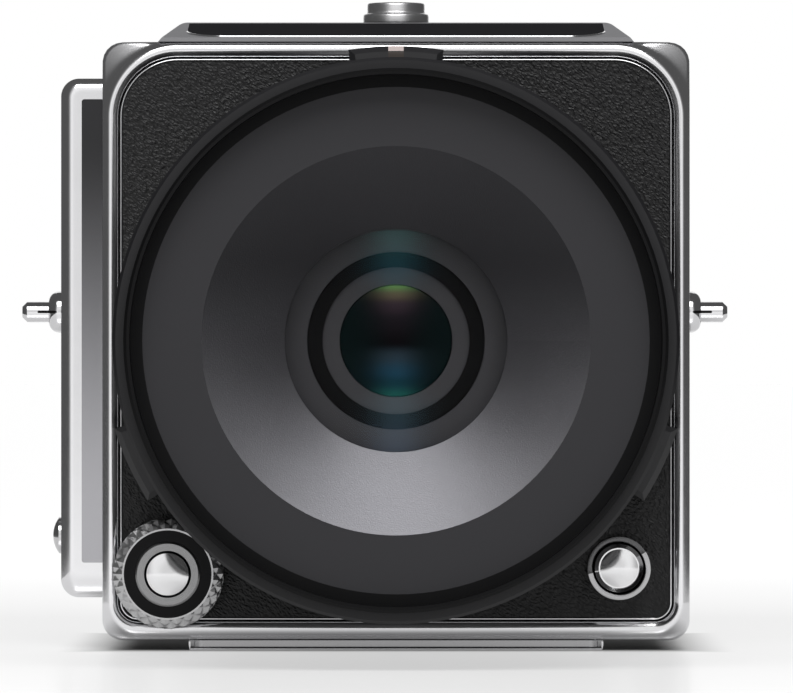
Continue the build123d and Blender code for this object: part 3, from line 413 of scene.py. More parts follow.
def make_turned_rings():
    """Fine rings about an axis along Y: noise on the radius and on the place along the axis."""
    group, entry, place = new_effect("turned_rings", [("Centre", "NodeSocketVector", (0.0, 0.0, 0.0))])
    parts = parts_of(group, vector_step(group, "SUBTRACT", {0: place, 1: entry["Centre"]}))
    squares = arithmetic(group, "ADD", product(group, parts["X"], parts["X"]),
                         product(group, parts["Z"], parts["Z"]))
    radius = arithmetic(group, "SQRT", squares)
    ring_place = add_node(group, "ShaderNodeCombineXYZ", {"X": radius, "Y": parts["Y"]}).outputs[0]
    rings = noise(group, ring_place, entry["Grain"], 3.0, 0.7)
    slow = noise(group, place, 0.06, 3.0)
    return close_effect(group, weigh(group, rings, 0.6, slow, 0.4), rings)


def make_pebbles():
    """Leatherette: rounded cells of uneven size, bent by noise and drawn out along a slant."""
    group, entry, place = new_effect("pebbles", [])
    warp = add_node(group, "ShaderNodeTexNoise", {"Vector": place, "Scale": 1.1, "Detail": 2.0}).outputs[1]
    bent = vector_step(group, "MULTIPLY_ADD", {0: warp, 1: (0.8, 0.8, 0.8), 2: place})
    slanted = turned_place(group, bent, (1.0, 1.0, 1.0), (0.0, math.radians(-42), 0.0))
    slanted = turned_place(group, slanted, (0.62, 1.0, 1.30))
    cells = add_node(group, "ShaderNodeTexVoronoi", {"Vector": slanted, "Scale": entry["Grain"],
                                                     "Smoothness": 0.35}, feature="SMOOTH_F1").outputs[0]
    creases = noise(group, slanted, 3.4, 3.0, 0.6)
    dome = arithmetic(group, "SUBTRACT", 1.0, product(group, cells, 1.25))
    return close_effect(group, dome, weigh(group, dome, 0.75, creases, 0.35))


speckle = make_speckle()
wipe_marks = make_wipe_marks()
turned_rings = make_turned_rings()
pebbles = make_pebbles()
print("effect groups:", [group.name for group in bpy.data.node_groups])


# %% [markdown]
# A finish then joins one effect to a Principled shader. The mask moves the colour between two
# near shades and the roughness over a small range, and the height goes through a Bump node,
# whose distance is the real depth of the grain. Values that are the same all over are set on
# the shader itself.

# %% Build a finish
axis_centre = (0.0, 0.0, axis_z / MM)
mask_low = 0.3
mask_high = 0.7
finishes = {}


def build_finish(name, effect, grain, colours, roughness, relief, metallic=0.0, centre=None, fade=None,
                 **plain):
    """A material: two shades and a range of roughness by the mask, relief in millimetres.

    A fade is painted shade: two heights in millimetres and the share of the colour that is left at each.
    """
    finish, tree, place = new_material(name)
    shader = tree.nodes["Principled BSDF"]
    inputs = {"Place": place, "Grain": grain}
    if centre is not None:
        inputs["Centre"] = centre
    group = add_node(tree, "ShaderNodeGroup", inputs, node_tree=effect)
    mask = group.outputs["Mask"]
    shades = [tuple(shade) + (1.0,) for shade in colours]
    colour = blend_colours(tree, mask, *shades)
    # The fade paints shade into the colour by scaling it with height.
    if fade is not None:
        share = stretch(tree, parts_of(tree, place)["Z"], fade[0] * MM, fade[1] * MM, fade[2], fade[3],
                        "SMOOTHSTEP")
        colour = vector_step(tree, "SCALE", {0: colour, "Scale": share})
    connect(tree, colour, shader.inputs["Base Color"])
    connect(tree, stretch(tree, mask, mask_low, mask_high, *roughness), shader.inputs["Roughness"])
    if relief:
        bump = add_node(tree, "ShaderNodeBump", {"Height": group.outputs["Height"], "Strength": 1.0,
                                                 "Distance": relief * MM})
        connect(tree, bump.outputs["Normal"], shader.inputs["Normal"])
    shader.inputs["Metallic"].default_value = metallic
    for label, value in plain.items():
        shader.inputs[label.replace("_", " ")].default_value = value
    finishes[name] = finish


def grey(low, high, blue=0.0):
    """Two neutral shades, a little towards violet where asked."""
    tint = np.array([1.0, 1.0 - 0.15 * blue, 1.0 + blue])
    return (tuple(low * tint), tuple(high * tint))


# %% [markdown]
# The body's metal comes in degrees of shine. The frame and the lugs are polished and plated, the base plate
# and the collar of the release are duller, and the top cover and the side cover have a satin. The side cover's
# panel also gets darker towards the top, which is painted shade. The buttons are turned on a lathe, so their
# marks run in rings about their own axis.

# %% Bright metal
# Painted shade: the side cover's panel colour falls to a tenth towards its top.
side_painted_shade = (18, 74, 1.0, 0.10)
cover_tint = (0.45, 0.45, 0.46, 1)


def centre_of(node):
    """The middle of a solid in the front view, in millimetres, for rings about it."""
    low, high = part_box(node)
    return ((low.x + high.x) / 2 / MM, 0.0, (low.z + high.z) / 2 / MM)


for slot, low, high, rough in (
    ("frame_chrome", 0.80, 0.88, (0.11, 0.18)),
    ("base_chrome", 0.36, 0.44, (0.16, 0.24)),
    ("lug_steel", 0.72, 0.80, (0.08, 0.14)),
    ("cap_steel", 0.62, 0.70, (0.12, 0.20)),
    ("guard_chrome", 0.40, 0.52, (0.14, 0.22)),
    ("trim_chrome", 0.70, 0.78, (0.10, 0.18)),
):
    build_finish(slot, wipe_marks, 5.0, grey(low, high, 0.015), rough, 0.0012, 1.0)
for slot, low, high, rough in (
    ("latch_silver", 0.46, 0.54, (0.26, 0.36)),
    ("sleeve_metal", 0.25, 0.32, (0.30, 0.40)),
):
    build_finish(slot, speckle, 7.0, grey(low, high, 0.02), rough, 0.002, 1.0)
for slot, node, low, high, rough in (
    ("button_chrome", "shutter_button", 0.74, 0.84, (0.08, 0.14)),
    ("post_chrome", "button_post", 0.26, 0.36, (0.22, 0.32)),
    ("dial_chrome", "dial_wheel", 0.50, 0.66, (0.30, 0.40)),
    ("bush_steel", "thread_bushes", 0.50, 0.60, (0.20, 0.30)),
    ("bayonet_steel", "bayonet_ring", 0.60, 0.70, (0.16, 0.26)),
):
    build_finish(slot, turned_rings, 6.0, grey(low, high, 0.01), rough, 0.003, 1.0, centre_of(node))
# The fade darkens the side panel's colour towards the top: painted shade.
build_finish("side_satin", speckle, 7.0, grey(0.42, 0.48, 0.04), (0.18, 0.26), 0.001, 1.0, fade=side_painted_shade)
build_finish("cover_chrome", speckle, 7.0, grey(0.24, 0.30, 0.03), (0.28, 0.36), 0.002, 1.0,
             Specular_Tint=cover_tint)
print("bright metals:", len(finishes))

# %% [markdown]
# The lens is black anodised aluminium: not a paint but a dyed skin, so it keeps the fine turned rings, and its
# gloss is soft. A black reads as black only if its gloss is low too, so each has its own specular level, the
# last number of its row. The funnel round the glass has a blasted grain, and its colour is painted brightest
# at its foot and dark at its top: painted shade for the light that falls into it from above.

# %% Black metal and plastic
for slot, low, high, rough, grain, relief, gloss in (
    ("lens_black", 0.010, 0.016, (0.34, 0.46), 5.0, 0.004, 0.32),
    ("ring_black", 0.011, 0.017, (0.36, 0.48), 5.0, 0.003, 0.32),
    # The filter ring is darker and less glossy than the barrel: painted shade for its thread in shadow.
    ("filter_black", 0.002, 0.004, (0.50, 0.60), 5.0, 0.004, 0.12),
    ("mount_black", 0.012, 0.018, (0.36, 0.46), 5.0, 0.003, 0.50),
    ("cell_grey", 0.038, 0.048, (0.40, 0.50), 4.0, 0.0, 0.50),
    ("rear_black", 0.006, 0.010, (0.50, 0.60), 4.0, 0.004, 0.50),
    ("iris_metal", 0.010, 0.015, (0.50, 0.60), 4.0, 0.003, 0.50),
    ("dial_black", 0.006, 0.010, (0.30, 0.40), 5.0, 0.003, 0.14),
):
    middle = centre_of("dial_wheel") if slot == "dial_black" else axis_centre
    build_finish(slot, turned_rings, grain, grey(low, high, 0.12), rough, relief, centre=middle,
                 Specular_IOR_Level=gloss)
for slot, low, high, rough, grain, relief, gloss in (
    ("face_black", 0.022, 0.030, (0.44, 0.54), 8.0, 0.004, 0.32),
    ("contact_black", 0.012, 0.018, (0.45, 0.55), 6.0, 0.004, 0.50),
    ("body_paint", 0.060, 0.080, (0.40, 0.50), 6.0, 0.006, 0.50),
    ("back_paint", 0.014, 0.020, (0.38, 0.48), 6.0, 0.006, 0.50),
    ("rear_paint", 0.014, 0.020, (0.36, 0.48), 6.0, 0.008, 0.50),
    ("door_paint", 0.014, 0.020, (0.40, 0.50), 6.0, 0.008, 0.50),
    ("battery_paint", 0.014, 0.020, (0.40, 0.50), 6.0, 0.008, 0.50),
    ("key_black", 0.016, 0.022, (0.34, 0.44), 6.0, 0.004, 0.50),
    ("sensor_black", 0.006, 0.009, (0.50, 0.60), 6.0, 0.004, 0.50),
    ("foot_rubber", 0.014, 0.022, (0.70, 0.85), 4.0, 0.020, 0.50),
    ("screen_black", 0.006, 0.009, (0.14, 0.22), 6.0, 0.001, 0.50),
    ("screen_cover", 0.004, 0.006, (0.04, 0.10), 3.0, 0.0, 0.50),
):
    build_finish(slot, speckle, grain, grey(low, high, 0.12), rough, relief, Specular_IOR_Level=gloss)
print("finishes with the blacks:", len(finishes))

# %% Leatherette, funnel and trim
# Painted shade: the funnel's colour falls to about an eighth from its foot to its top.
cone_painted_shade = (24, 56, 1.0, 0.13)
sensor_shades = ((0.02, 0.10, 0.09), (0.03, 0.13, 0.11))
build_finish("leatherette", pebbles, 2.4, grey(0.003, 0.012, 0.08), (0.46, 0.32), 0.14,
             Specular_IOR_Level=0.35)
build_finish("inlay_gloss", speckle, 6.0, grey(0.022, 0.028, 0.08), (0.40, 0.48), 0.003,
             Specular_IOR_Level=0.0)
build_finish("baffle_black", speckle, 8.0, grey(0.0008, 0.0015), (0.60, 0.70), 0.0, Specular_IOR_Level=0.10)
build_finish("cone_metal", speckle, 5.0, grey(0.32, 0.42, 0.06), (0.42, 0.52), 0.030, 1.0, fade=cone_painted_shade)
build_finish("blade_black", wipe_marks, 5.0, grey(0.05, 0.08), (0.35, 0.50), 0.001, 1.0)
build_finish("release_silver", wipe_marks, 9.0, grey(0.66, 0.78, 0.01), (0.32, 0.42), 0.003, 1.0)
build_finish("sensor_cover", speckle, 3.0, sensor_shades, (0.05, 0.10), 0.0)
print("finishes:", len(finishes))


# %% [markdown]
# Coated glass is almost clear, and what colour it has comes from thin layers that reflect a little of one hue.
# So each glass is a mirror with a dark tint: the outer ones have a low alpha and let what is behind show, and
# the inner one is deep enough to be left opaque. The tint is painted reflection: it follows the place on the
# glass, so the coloured glows near the top and the foot, and the dark middle between them, are painted into
# the colour.

# %% Glass with painted reflections
def colour_stops(tree, value, stops):
    """A colour ramp through (place, colour) pairs."""
    ramp = add_node(tree, "ShaderNodeValToRGB", {0: value})
    ramp.color_ramp.interpolation = "EASE"
    elements = ramp.color_ramp.elements
    while len(elements) < len(stops):
        elements.new(1.0)
    for element, (place, colour) in zip(elements, stops):
        element.position = place
        element.color = tuple(colour) + (1.0,)
    return ramp.outputs["Color"]


def glass_with_painted_reflections(name, reach, stops, half_width, edge_colour, alpha, roughness):
    """Glass whose painted reflection runs from its foot (0) to its top (1) and fades to each side as a bell.
    """
    finish, tree, place = new_material(name)
    shader = tree.nodes["Principled BSDF"]
    parts = parts_of(tree, place)
    up = stretch(tree, parts["Z"], axis_z - reach, axis_z + reach)
    across = arithmetic(tree, "DIVIDE", parts["X"], half_width)
    side = arithmetic(tree, "EXPONENT", product(tree, across, across, -1.0))
    tint = colour_stops(tree, up, stops)
    connect(tree, blend_colours(tree, side, edge_colour, tint), shader.inputs["Base Color"])
    shader.inputs["Metallic"].default_value = 1.0
    shader.inputs["Roughness"].default_value = roughness
    shader.inputs["Alpha"].default_value = alpha
    finishes[name] = finish


def half_height(node):
    """Half of a solid's height."""
    low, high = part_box(node)
    return (high.z - low.z) / 2


rear_reach = 20 * MM
# The colour stops below are painted reflections: coloured glows and a dark middle set by height.
glass_with_painted_reflections(
    "front_glass", half_height("front_element"),
    [(0.06, (0.10, 0.16, 0.24)), (0.24, (0.08, 0.16, 0.20)), (0.34, (0.02, 0.02, 0.02)),
     (0.66, (0.02, 0.02, 0.02)), (0.78, (0.03, 0.13, 0.18)), (0.94, (0.06, 0.18, 0.18))],
    3.4 * MM, (0.015, 0.015, 0.017, 1), 0.10, 0.05)
glass_with_painted_reflections(
    "inner_glass", half_height("inner_element"),
    [(0.02, (0.000, 0.070, 0.050)), (0.12, (0.004, 0.035, 0.050)), (0.22, (0.010, 0.050, 0.085)),
     (0.36, (0.020, 0.036, 0.050)), (0.48, (0.002, 0.001, 0.002)), (0.68, (0.012, 0.009, 0.013)),
     (0.82, (0.040, 0.026, 0.036)), (0.91, (0.110, 0.090, 0.055)), (0.98, (0.120, 0.230, 0.065))],
    2.8 * MM, (0.002, 0.006, 0.006, 1), 1.0, 0.12)
glass_with_painted_reflections(
    "rear_glass", rear_reach,
    [(0.0, (0.05, 0.20, 0.16)), (0.5, (0.10, 0.08, 0.14)), (1.0, (0.06, 0.18, 0.20))],
    rear_reach, (0.06, 0.08, 0.10, 1), 0.35, 0.05)
print("glass finishes:", [name for name in finishes if name.endswith("glass")])

# %% [markdown]
# Every solid of the model names the material that it is made of. The finishes have the same
# names, so one loop puts each into the slot of its solids. Solids that no new piece replaces
# are seen as they are, with this finish.

# %% Give every solid its finish
for entry in frame["record"]["subparts"]:
    nodes[entry["node"]].material_slots[0].material = finishes[entry["material_slot"]]


# %% [markdown]
# The rest of the lesson makes surfaces. All of them are grids: rows run along the shape and
# columns across it, and every point is worked out at once as an array. Where a grid closes on
# itself the last row joins the first, and points that fall together, as at a pole, are merged.


def grid_faces(rows, columns, close_rows, close_columns):
    """Four-sided faces of a grid: each joins a point to the next row and the next column."""
    row = np.arange(rows if close_rows else rows - 1)[:, None]
    column = np.arange(columns if close_columns else columns - 1)[None, :]
    next_row = (row + 1) % rows
    next_column = (column + 1) % columns
    faces = np.stack([row * columns + column, row * columns + next_column,
                      next_row * columns + next_column, next_row * columns + column], axis=-1)
    return faces.reshape(-1, 4)


def add_piece(name, points, close_rows, close_columns, slot, body, replaced=(), crease=35.0):
    """Makes a piece from a grid of points, smooth but for edges sharper than the crease angle."""
    rows, columns = points.shape[:2]
    faces = grid_faces(rows, columns, close_rows, close_columns)
    mesh = bpy.data.meshes.new(name)
    mesh.from_pydata(points.reshape(-1, 3).tolist(), [], faces.tolist())
    shell = bmesh.new()
    shell.from_mesh(mesh)
    bmesh.ops.remove_doubles(shell, verts=shell.verts, dist=1e-7)
    bmesh.ops.dissolve_degenerate(shell, edges=shell.edges, dist=1e-8)
    bmesh.ops.recalc_face_normals(shell, faces=shell.faces)
    shell.to_mesh(mesh)
    shell.free()
    mesh.polygons.foreach_set("use_smooth", np.ones(len(mesh.polygons), dtype=bool))
    mesh.set_sharp_from_angle(angle=math.radians(crease))
    piece = bpy.data.objects.new(name, mesh)
    bpy.context.scene.collection.objects.link(piece)
    mesh.materials.append(finishes[slot])
    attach(piece, body)
    if replaced:
        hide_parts(*replaced)
    print(name, "has", len(mesh.polygons), "faces")


def close_ends(points):
    """Adds a row at each end of a tube, with all its points at the middle of that end."""
    first = points[:1].mean(axis=1, keepdims=True).repeat(points.shape[1], axis=1)
    last = points[-1:].mean(axis=1, keepdims=True).repeat(points.shape[1], axis=1)
    return np.concatenate([first, points, last])


def middle_of(low, high):
    """The middle of a box."""
    return [(first + last) / 2 for first, last in zip(low, high)]


def turn_profile(profile, steps, centre, axis="Y"):
    """Turns (radius, place along the axis) pairs about an axis through the centre."""
    angle = np.linspace(0, 2 * np.pi, steps, endpoint=False)[:, None]
    radius, along = profile[..., 0], profile[..., 1]
    first = radius * np.cos(angle)
    second = radius * np.sin(angle)
    along = along + 0 * angle
    if axis == "Y":
        return np.stack([centre[0] + first, along, centre[2] + second], axis=-1)
    return np.stack([centre[0] + first, centre[1] + second, along], axis=-1)


def soften(corners, cut, steps=4):
    """Rounds the corners of a closed profile: a curve leaves each corner's sides at the cut."""
    before = np.roll(corners, 1, axis=0) - corners
    after = np.roll(corners, -1, axis=0) - corners
    share_before = np.minimum(cut / np.linalg.norm(before, axis=1), 0.49)[:, None, None]
    share_after = np.minimum(cut / np.linalg.norm(after, axis=1), 0.49)[:, None, None]
    t = np.linspace(0, 1, steps)[None, :, None]
    corner = corners[:, None, :]
    start = corner + before[:, None, :] * share_before
    end = corner + after[:, None, :] * share_after
    curve = (1 - t) ** 2 * start + 2 * t * (1 - t) * corner + t ** 2 * end
    return curve.reshape(-1, 2)


# %% [markdown]
# The front frame is cast and polished by hand, so it has no flat on it. In section it is a
# round bead along the opening, and beyond the bead it falls away to the outer edge. In the top
# corners the opening turns in a wide arc and the outside in a tight one, so the slope beyond
# the bead shows as a grey field outside the bright line. The band is drawn from the opening
# outwards, along the normals of its outline.

# %% Outlines of the front frame
panel_low, panel_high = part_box("front_panel")
panel_groove = 0.35 * MM
top_corner = 8.3 * MM
low_corner = 2.5 * MM
outer_corner = 2.9 * MM
bead_radius = 1.3 * MM
bead_end = 1.05 * MM
slope_out = 0.36
slope_fade = 0.30 * MM
slope_power = 0.8
edge_round = 0.40 * MM
bead_steps = 30
slope_steps = 22
arc_steps = 28
search_steps = 60


def rounded_outline(low_x, high_x, low_z, high_z, low_radius, high_radius, arc_steps):
    """Outline of a rectangle with round corners, and its outward normals, as two arrays."""
    radius = np.array([high_radius, high_radius, low_radius, low_radius])
    centre_x = np.array([high_x, low_x, low_x, high_x]) + radius * np.array([-1, 1, 1, -1])
    centre_z = np.array([high_z, high_z, low_z, low_z]) + radius * np.array([-1, -1, 1, 1])
    angle = np.radians(np.array([0, 90, 180, 270])[:, None] + np.linspace(0, 90, arc_steps)[None, :])
    normal = np.stack([np.cos(angle), np.sin(angle)], axis=-1)
    centre = np.stack([centre_x, centre_z], axis=-1)[:, None, :]
    return (centre + radius[:, None, None] * normal).reshape(-1, 2), normal.reshape(-1, 2)


def distance_outside(points, middle, half, radius):
    """How far points lie outside a rounded rectangle, negative inside."""
    reach = np.abs(points - middle) - (half - radius)
    return (np.linalg.norm(np.maximum(reach, 0), axis=-1) + np.minimum(reach.max(axis=-1), 0) - radius)


def outward_width(start, normal, middle, half, radius):
    """Length from each start along its normal to the outer outline, by repeated safe steps."""
    width = np.zeros(len(start))
    for _ in range(search_steps):
        width = width - distance_outside(start + normal * width[:, None], middle, half, radius)
    return width


opening, opening_normal = rounded_outline(
    panel_low.x - panel_groove, panel_high.x + panel_groove, panel_low.z - panel_groove,
    panel_high.z + panel_groove, low_corner, top_corner, arc_steps)
frame_middle = np.array(middle_of(frame_low, frame_high))[[0, 2]]
frame_half = (np.array(frame_high) - np.array(frame_low))[[0, 2]] / 2
band_width = outward_width(opening, opening_normal, frame_middle, frame_half, outer_corner)
print("the band is", round(band_width.min() / MM, 2), "to", round(band_width.max() / MM, 2), "mm wide")


# %% Front frame
def band_drop(across):
    """Fall of the band behind its crest: a circle, then a slope that dies away to a gentle one."""
    beyond = across - bead_radius
    inside = np.clip(beyond, -0.95 * bead_radius, bead_end)
    circle = bead_radius - np.sqrt(bead_radius ** 2 - inside ** 2)
    steep = bead_end / math.sqrt(bead_radius ** 2 - bead_end ** 2) - slope_out
    run = np.maximum(beyond - bead_end, 0)
    return circle + slope_out * run + steep * slope_fade * (1 - np.exp(-run / slope_fade))


bead_columns = np.linspace(0, 1, bead_steps)[None, :] * (bead_radius + bead_end)
spread_columns = np.linspace(0, 1, slope_steps)[1:][None, :] ** slope_power
rest_width = band_width[:, None] - bead_radius - bead_end
across = np.concatenate([np.repeat(bead_columns, len(opening), axis=0),
                         bead_radius + bead_end + spread_columns * rest_width], axis=1)
left_over = np.clip(band_width[:, None] - across, 0, edge_round)
edge_fall = edge_round - np.sqrt(edge_round ** 2 - (edge_round - left_over) ** 2)
depth = face_y + band_drop(across) + edge_fall
across = np.concatenate([across, band_width[:, None], 0 * band_width[:, None]], axis=1)
depth = np.concatenate([depth, np.full((len(opening), 2), frame_high.y)], axis=1)
place = opening[:, None, :] + opening_normal[:, None, :] * across[:, :, None]
band_points = np.stack([place[..., 0], depth, place[..., 1]], axis=-1)
add_piece("frame_band", band_points, True, True, "frame_chrome", "camera_body", ("front_frame",), crease=50.0)

# %% [markdown]
# A fine bright line runs round the leatherette: the turned-up lip that holds its edge. It is a
# thin round bead, so it is a small circle carried along the same outline.

# %% Lip round the leatherette
lip_radius = 0.13 * MM
lip_inset = 0.12 * MM
lip_proud = 0.10 * MM
lip_sides = 12
turn = np.linspace(0, 2 * np.pi, lip_sides, endpoint=False)
lip_across = -lip_inset + lip_radius * np.cos(turn)
lip_place = opening[:, None, :] + opening_normal[:, None, :] * lip_across[None, :, None]
lip_depth = np.broadcast_to(panel_low.y - lip_proud + lip_radius * np.sin(turn), lip_place.shape[:2])
lip_points = np.stack([lip_place[..., 0], lip_depth, lip_place[..., 1]], axis=-1)
add_piece("panel_lip", lip_points, True, True, "frame_chrome", "camera_body")

# %% [markdown]
# The side cover is a bent and polished edge round a satin panel. The edge falls away from the
# panel slowly at first and steeply at its end, on three sides: the fall is the fifth power of
# the way out. The bend below is the widest. So the edge is drawn between two outlines, the
# panel's and the outer one, with as many points in each.

# %% Side cover
cover_low, cover_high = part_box("side_cover")
edge_width = 3.0 * MM
low_edge_width = 5.0 * MM
edge_fall_y = 1.3 * MM
edge_power = 5
cover_corner = 2.6 * MM
panel_corner = 0.4 * MM
corner_steps = 16
side_steps = 24
edge_steps = 24
panel_sink = 0.02 * MM


def cover_outline(inset, low_inset, corner):
    """Along the top, round the upper corner, down the side, round the lower corner and back."""
    left = cover_low.x + inset
    top = cover_high.z - inset
    low = cover_low.z + low_inset
    turn = np.linspace(np.pi / 2, np.pi, corner_steps)
    arc = np.stack([left + corner + corner * np.cos(turn), top - corner + corner * np.sin(turn)], axis=-1)
    side = np.stack([np.full(side_steps, left), np.linspace(top - corner, low + corner, side_steps)], axis=-1)
    low_arc = np.stack([left + corner - corner * np.sin(turn), low + corner + corner * np.cos(turn)], axis=-1)
    start = np.array([[cover_high.x, top]])
    end = np.array([[cover_high.x, low]])
    return np.concatenate([start, arc, side[1:], low_arc[1:], end])


outer_line = cover_outline(0.0, 0.0, cover_corner)
panel_line = cover_outline(edge_width, low_edge_width, panel_corner)
share = np.sin(np.linspace(0, np.pi / 2, edge_steps))
line = panel_line[:, None, :] + (outer_line - panel_line)[:, None, :] * share[None, :, None]
depth = cover_low.y + edge_fall_y * share ** edge_power
edge = np.stack([line[..., 0], np.broadcast_to(depth, line.shape[:2]), line[..., 1]], axis=-1)
rear = np.full(len(outer_line), cover_high.y)
back = np.stack([outer_line[:, 0], rear, outer_line[:, 1]], axis=-1)
inside = np.stack([panel_line[:, 0], rear, panel_line[:, 1]], axis=-1)
edge = np.concatenate([edge, back[:, None, :], inside[:, None, :]], axis=1)
add_piece("side_edge", edge, False, True, "frame_chrome", "camera_body", crease=40.0)

# %% Panel of the side cover
panel_steps = 30
panel_flank = 1.0 * MM
steps_up = np.linspace(0, 1, panel_steps)[:, None]
steps_across = np.array([0.0, 0.0, 1.0, 1.0])[None, :]
front_y = cover_low.y + panel_sink
panel_x = cover_low.x + edge_width + (cover_high.x - cover_low.x - edge_width) * steps_across
panel_low_z = cover_low.z + low_edge_width
panel_z = panel_low_z + (cover_high.z - edge_width - panel_low_z) * steps_up
panel_y = np.array([front_y + panel_flank, front_y, front_y, front_y + panel_flank])[None, :]
panel_points = np.stack(np.broadcast_arrays(panel_x, panel_y, panel_z), axis=-1)
add_piece("side_panel", panel_points, False, True, "side_satin", "camera_body", ("side_cover",), crease=40.0)

# %% [markdown]
# The inlay of the top cover has a bright line along its front edge, where its plate is cut: a
# thin bead along a straight front and two round corners, which lies on the slope of the cover.

# %% Bright edge of the inlay
inlay_low, inlay_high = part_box("top_inlay")
bead = 0.14 * MM
bead_sides = 10
inlay_corner = 6.0 * MM
front_steps = 20
turn = np.linspace(0, np.pi / 2, corner_steps)
corner_x = inlay_high.x - inlay_corner + inlay_corner * np.sin(turn)
corner_y = inlay_low.y + inlay_corner - inlay_corner * np.cos(turn)
front_x = np.linspace(-corner_x[0], corner_x[0], front_steps)[1:-1]
path_x = np.concatenate([-corner_x[::-1], front_x, corner_x])
path_y = np.concatenate([corner_y[::-1], np.full(len(front_x), corner_y[0]), corner_y])
cover_front_rise = 0.6 * MM
top_low, top_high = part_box("top_cover")
slope = (top_high.z - top_low.z - cover_front_rise) / (top_high.y - top_low.y)
path_z = top_high.z - slope * (top_high.y - path_y)


def bead_along(name, path, radius, up, slot, body):
    """A round bead: a circle across the path at each of its points, closed at its ends."""
    tangent = np.gradient(path, axis=0)
    tangent /= np.linalg.norm(tangent, axis=1, keepdims=True)
    sideways = np.cross(tangent, up)
    sideways /= np.linalg.norm(sideways, axis=1, keepdims=True)
    upward = np.cross(sideways, tangent)
    turn = np.linspace(0, 2 * np.pi, bead_sides, endpoint=False)[None, :, None]
    circle = np.cos(turn) * sideways[:, None, :] + np.sin(turn) * upward[:, None, :]
    add_piece(name, close_ends(path[:, None, :] + radius * circle), False, True, slot, body)


inlay_path = np.stack([path_x, path_y, path_z], axis=-1)
bead_along("inlay_line", inlay_path, bead, [0.0, 0.0, 1.0], "frame_chrome", "camera_body")
print("slope of the cover", round(slope, 3))

# %% [markdown]
# The base plate is ground bright along its front edge and its ends, round a duller middle. The
# bright line is a bead again, along three sides of the plate's front.

# %% Bright edge of the base plate
plate_low, plate_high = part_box("base_plate")
line_bead = 0.16 * MM
line_depth = 0.6 * line_bead
rise_steps = 6
run_steps = 40
rise = np.linspace(plate_high.z - line_bead, plate_low.z + line_bead, rise_steps)
run = np.linspace(plate_low.x + line_bead, plate_high.x - line_bead, run_steps)
path_x = np.concatenate([np.full(rise_steps - 1, run[0]), run, np.full(rise_steps - 1, run[-1])])
path_z = np.concatenate([rise[:-1], np.full(run_steps, rise[-1]), rise[::-1][1:]])
base_path = np.stack([path_x, np.full(len(path_x), plate_low.y + line_depth), path_z], axis=-1)
bead_along("base_line", base_path, line_bead, [0.0, 1.0, 0.0], "frame_chrome", "camera_body")

# %% [markdown]
# The command dial is knurled: two sets of grooves cross and leave small pyramids. A knurl is a
# height over the wheel's skin, so it is worked out as one: each set of grooves is a zigzag in
# the turn plus or minus the way along the skin, and the lower of the two is the surface.

# %% Knurled dial
dial_low, dial_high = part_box("dial_wheel")
dial_centre = middle_of(dial_low, dial_high)
dial_radius = (dial_high.x - dial_low.x) / 2
dial_bore = 4.65 * MM
dial_lip_inner = 6.25 * MM
dial_lip_outer = 6.50 * MM
dial_recess = 0.5 * MM
dial_lip_height = 0.1 * MM
slope_rows = 12
side_rows = 20
dial_slope = dial_radius - dial_lip_outer
knurl_teeth = 25
knurl_pitch = 2.10 * MM
knurl_depth = 0.38 * MM
knurl_steps = 12
knurl_fade = 0.3 * MM
dial_bevel = 0.3 * MM


def zigzag(turns):
    """Goes from 1 down to 0 and back to 1 over each whole turn."""
    return np.abs(2 * (turns % 1.0) - 1)


skin_slope = np.linspace(0, 1, slope_rows)[:, None] * np.array([[dial_slope, dial_slope]])
skin_slope = skin_slope + np.array([[dial_lip_outer, dial_low.y + dial_lip_height]])
side_y = np.linspace(skin_slope[-1, 1], dial_high.y - dial_bevel, side_rows)
skin_side = np.stack([np.full(side_rows, dial_radius), side_y], axis=-1)[1:]
skin = np.concatenate([skin_slope, skin_side])
way = np.concatenate([[0], np.cumsum(np.linalg.norm(np.diff(skin, axis=0), axis=1))])
angle = np.linspace(0, 2 * np.pi, knurl_teeth * knurl_steps, endpoint=False)[:, None]
turns = knurl_teeth * angle / (2 * np.pi)
height = np.minimum(zigzag(turns + way[None, :] / knurl_pitch), zigzag(turns - way[None, :] / knurl_pitch))
fade_in = np.clip(way / knurl_fade, 0, 1) * np.clip((way[-1] - way) / knurl_fade, 0, 1)
skin_radius = skin[None, :, 0] - knurl_depth * (1 - height) * fade_in[None, :]
inner_corners = np.array([[dial_radius - dial_bevel, dial_high.y], [dial_bore, dial_high.y],
                          [dial_bore, dial_low.y + dial_recess], [dial_lip_inner, dial_low.y + dial_recess],
                          [dial_lip_inner, dial_low.y], [dial_lip_outer, dial_low.y]])
radius = np.concatenate([skin_radius, np.repeat(inner_corners[None, :, 0], len(angle), axis=0)], axis=1)
along = np.concatenate([skin[:, 1], inner_corners[:, 1]])
dial_points = turn_profile(np.stack([radius, np.broadcast_to(along, radius.shape)], axis=-1),
                           len(angle), dial_centre)
add_piece("dial_knurl", dial_points, True, True, "dial_chrome", "dial", ("dial_wheel",), crease=25.0)


# %% [markdown]
# The two turning rings of the lens are grooved along the axis for the fingers. Each groove is
# cut by a round tool, so the ribs between are flat on top with hollow flanks: the cosine of the
# turn, clipped at the top. A plain edge stays at each end of the ring.

# %% Grip rings of the lens
grip_bevel = 0.3 * MM
groove_end = 0.5 * MM
groove_steps = 8
groove_level = 0.75
groove_swing = 1.15


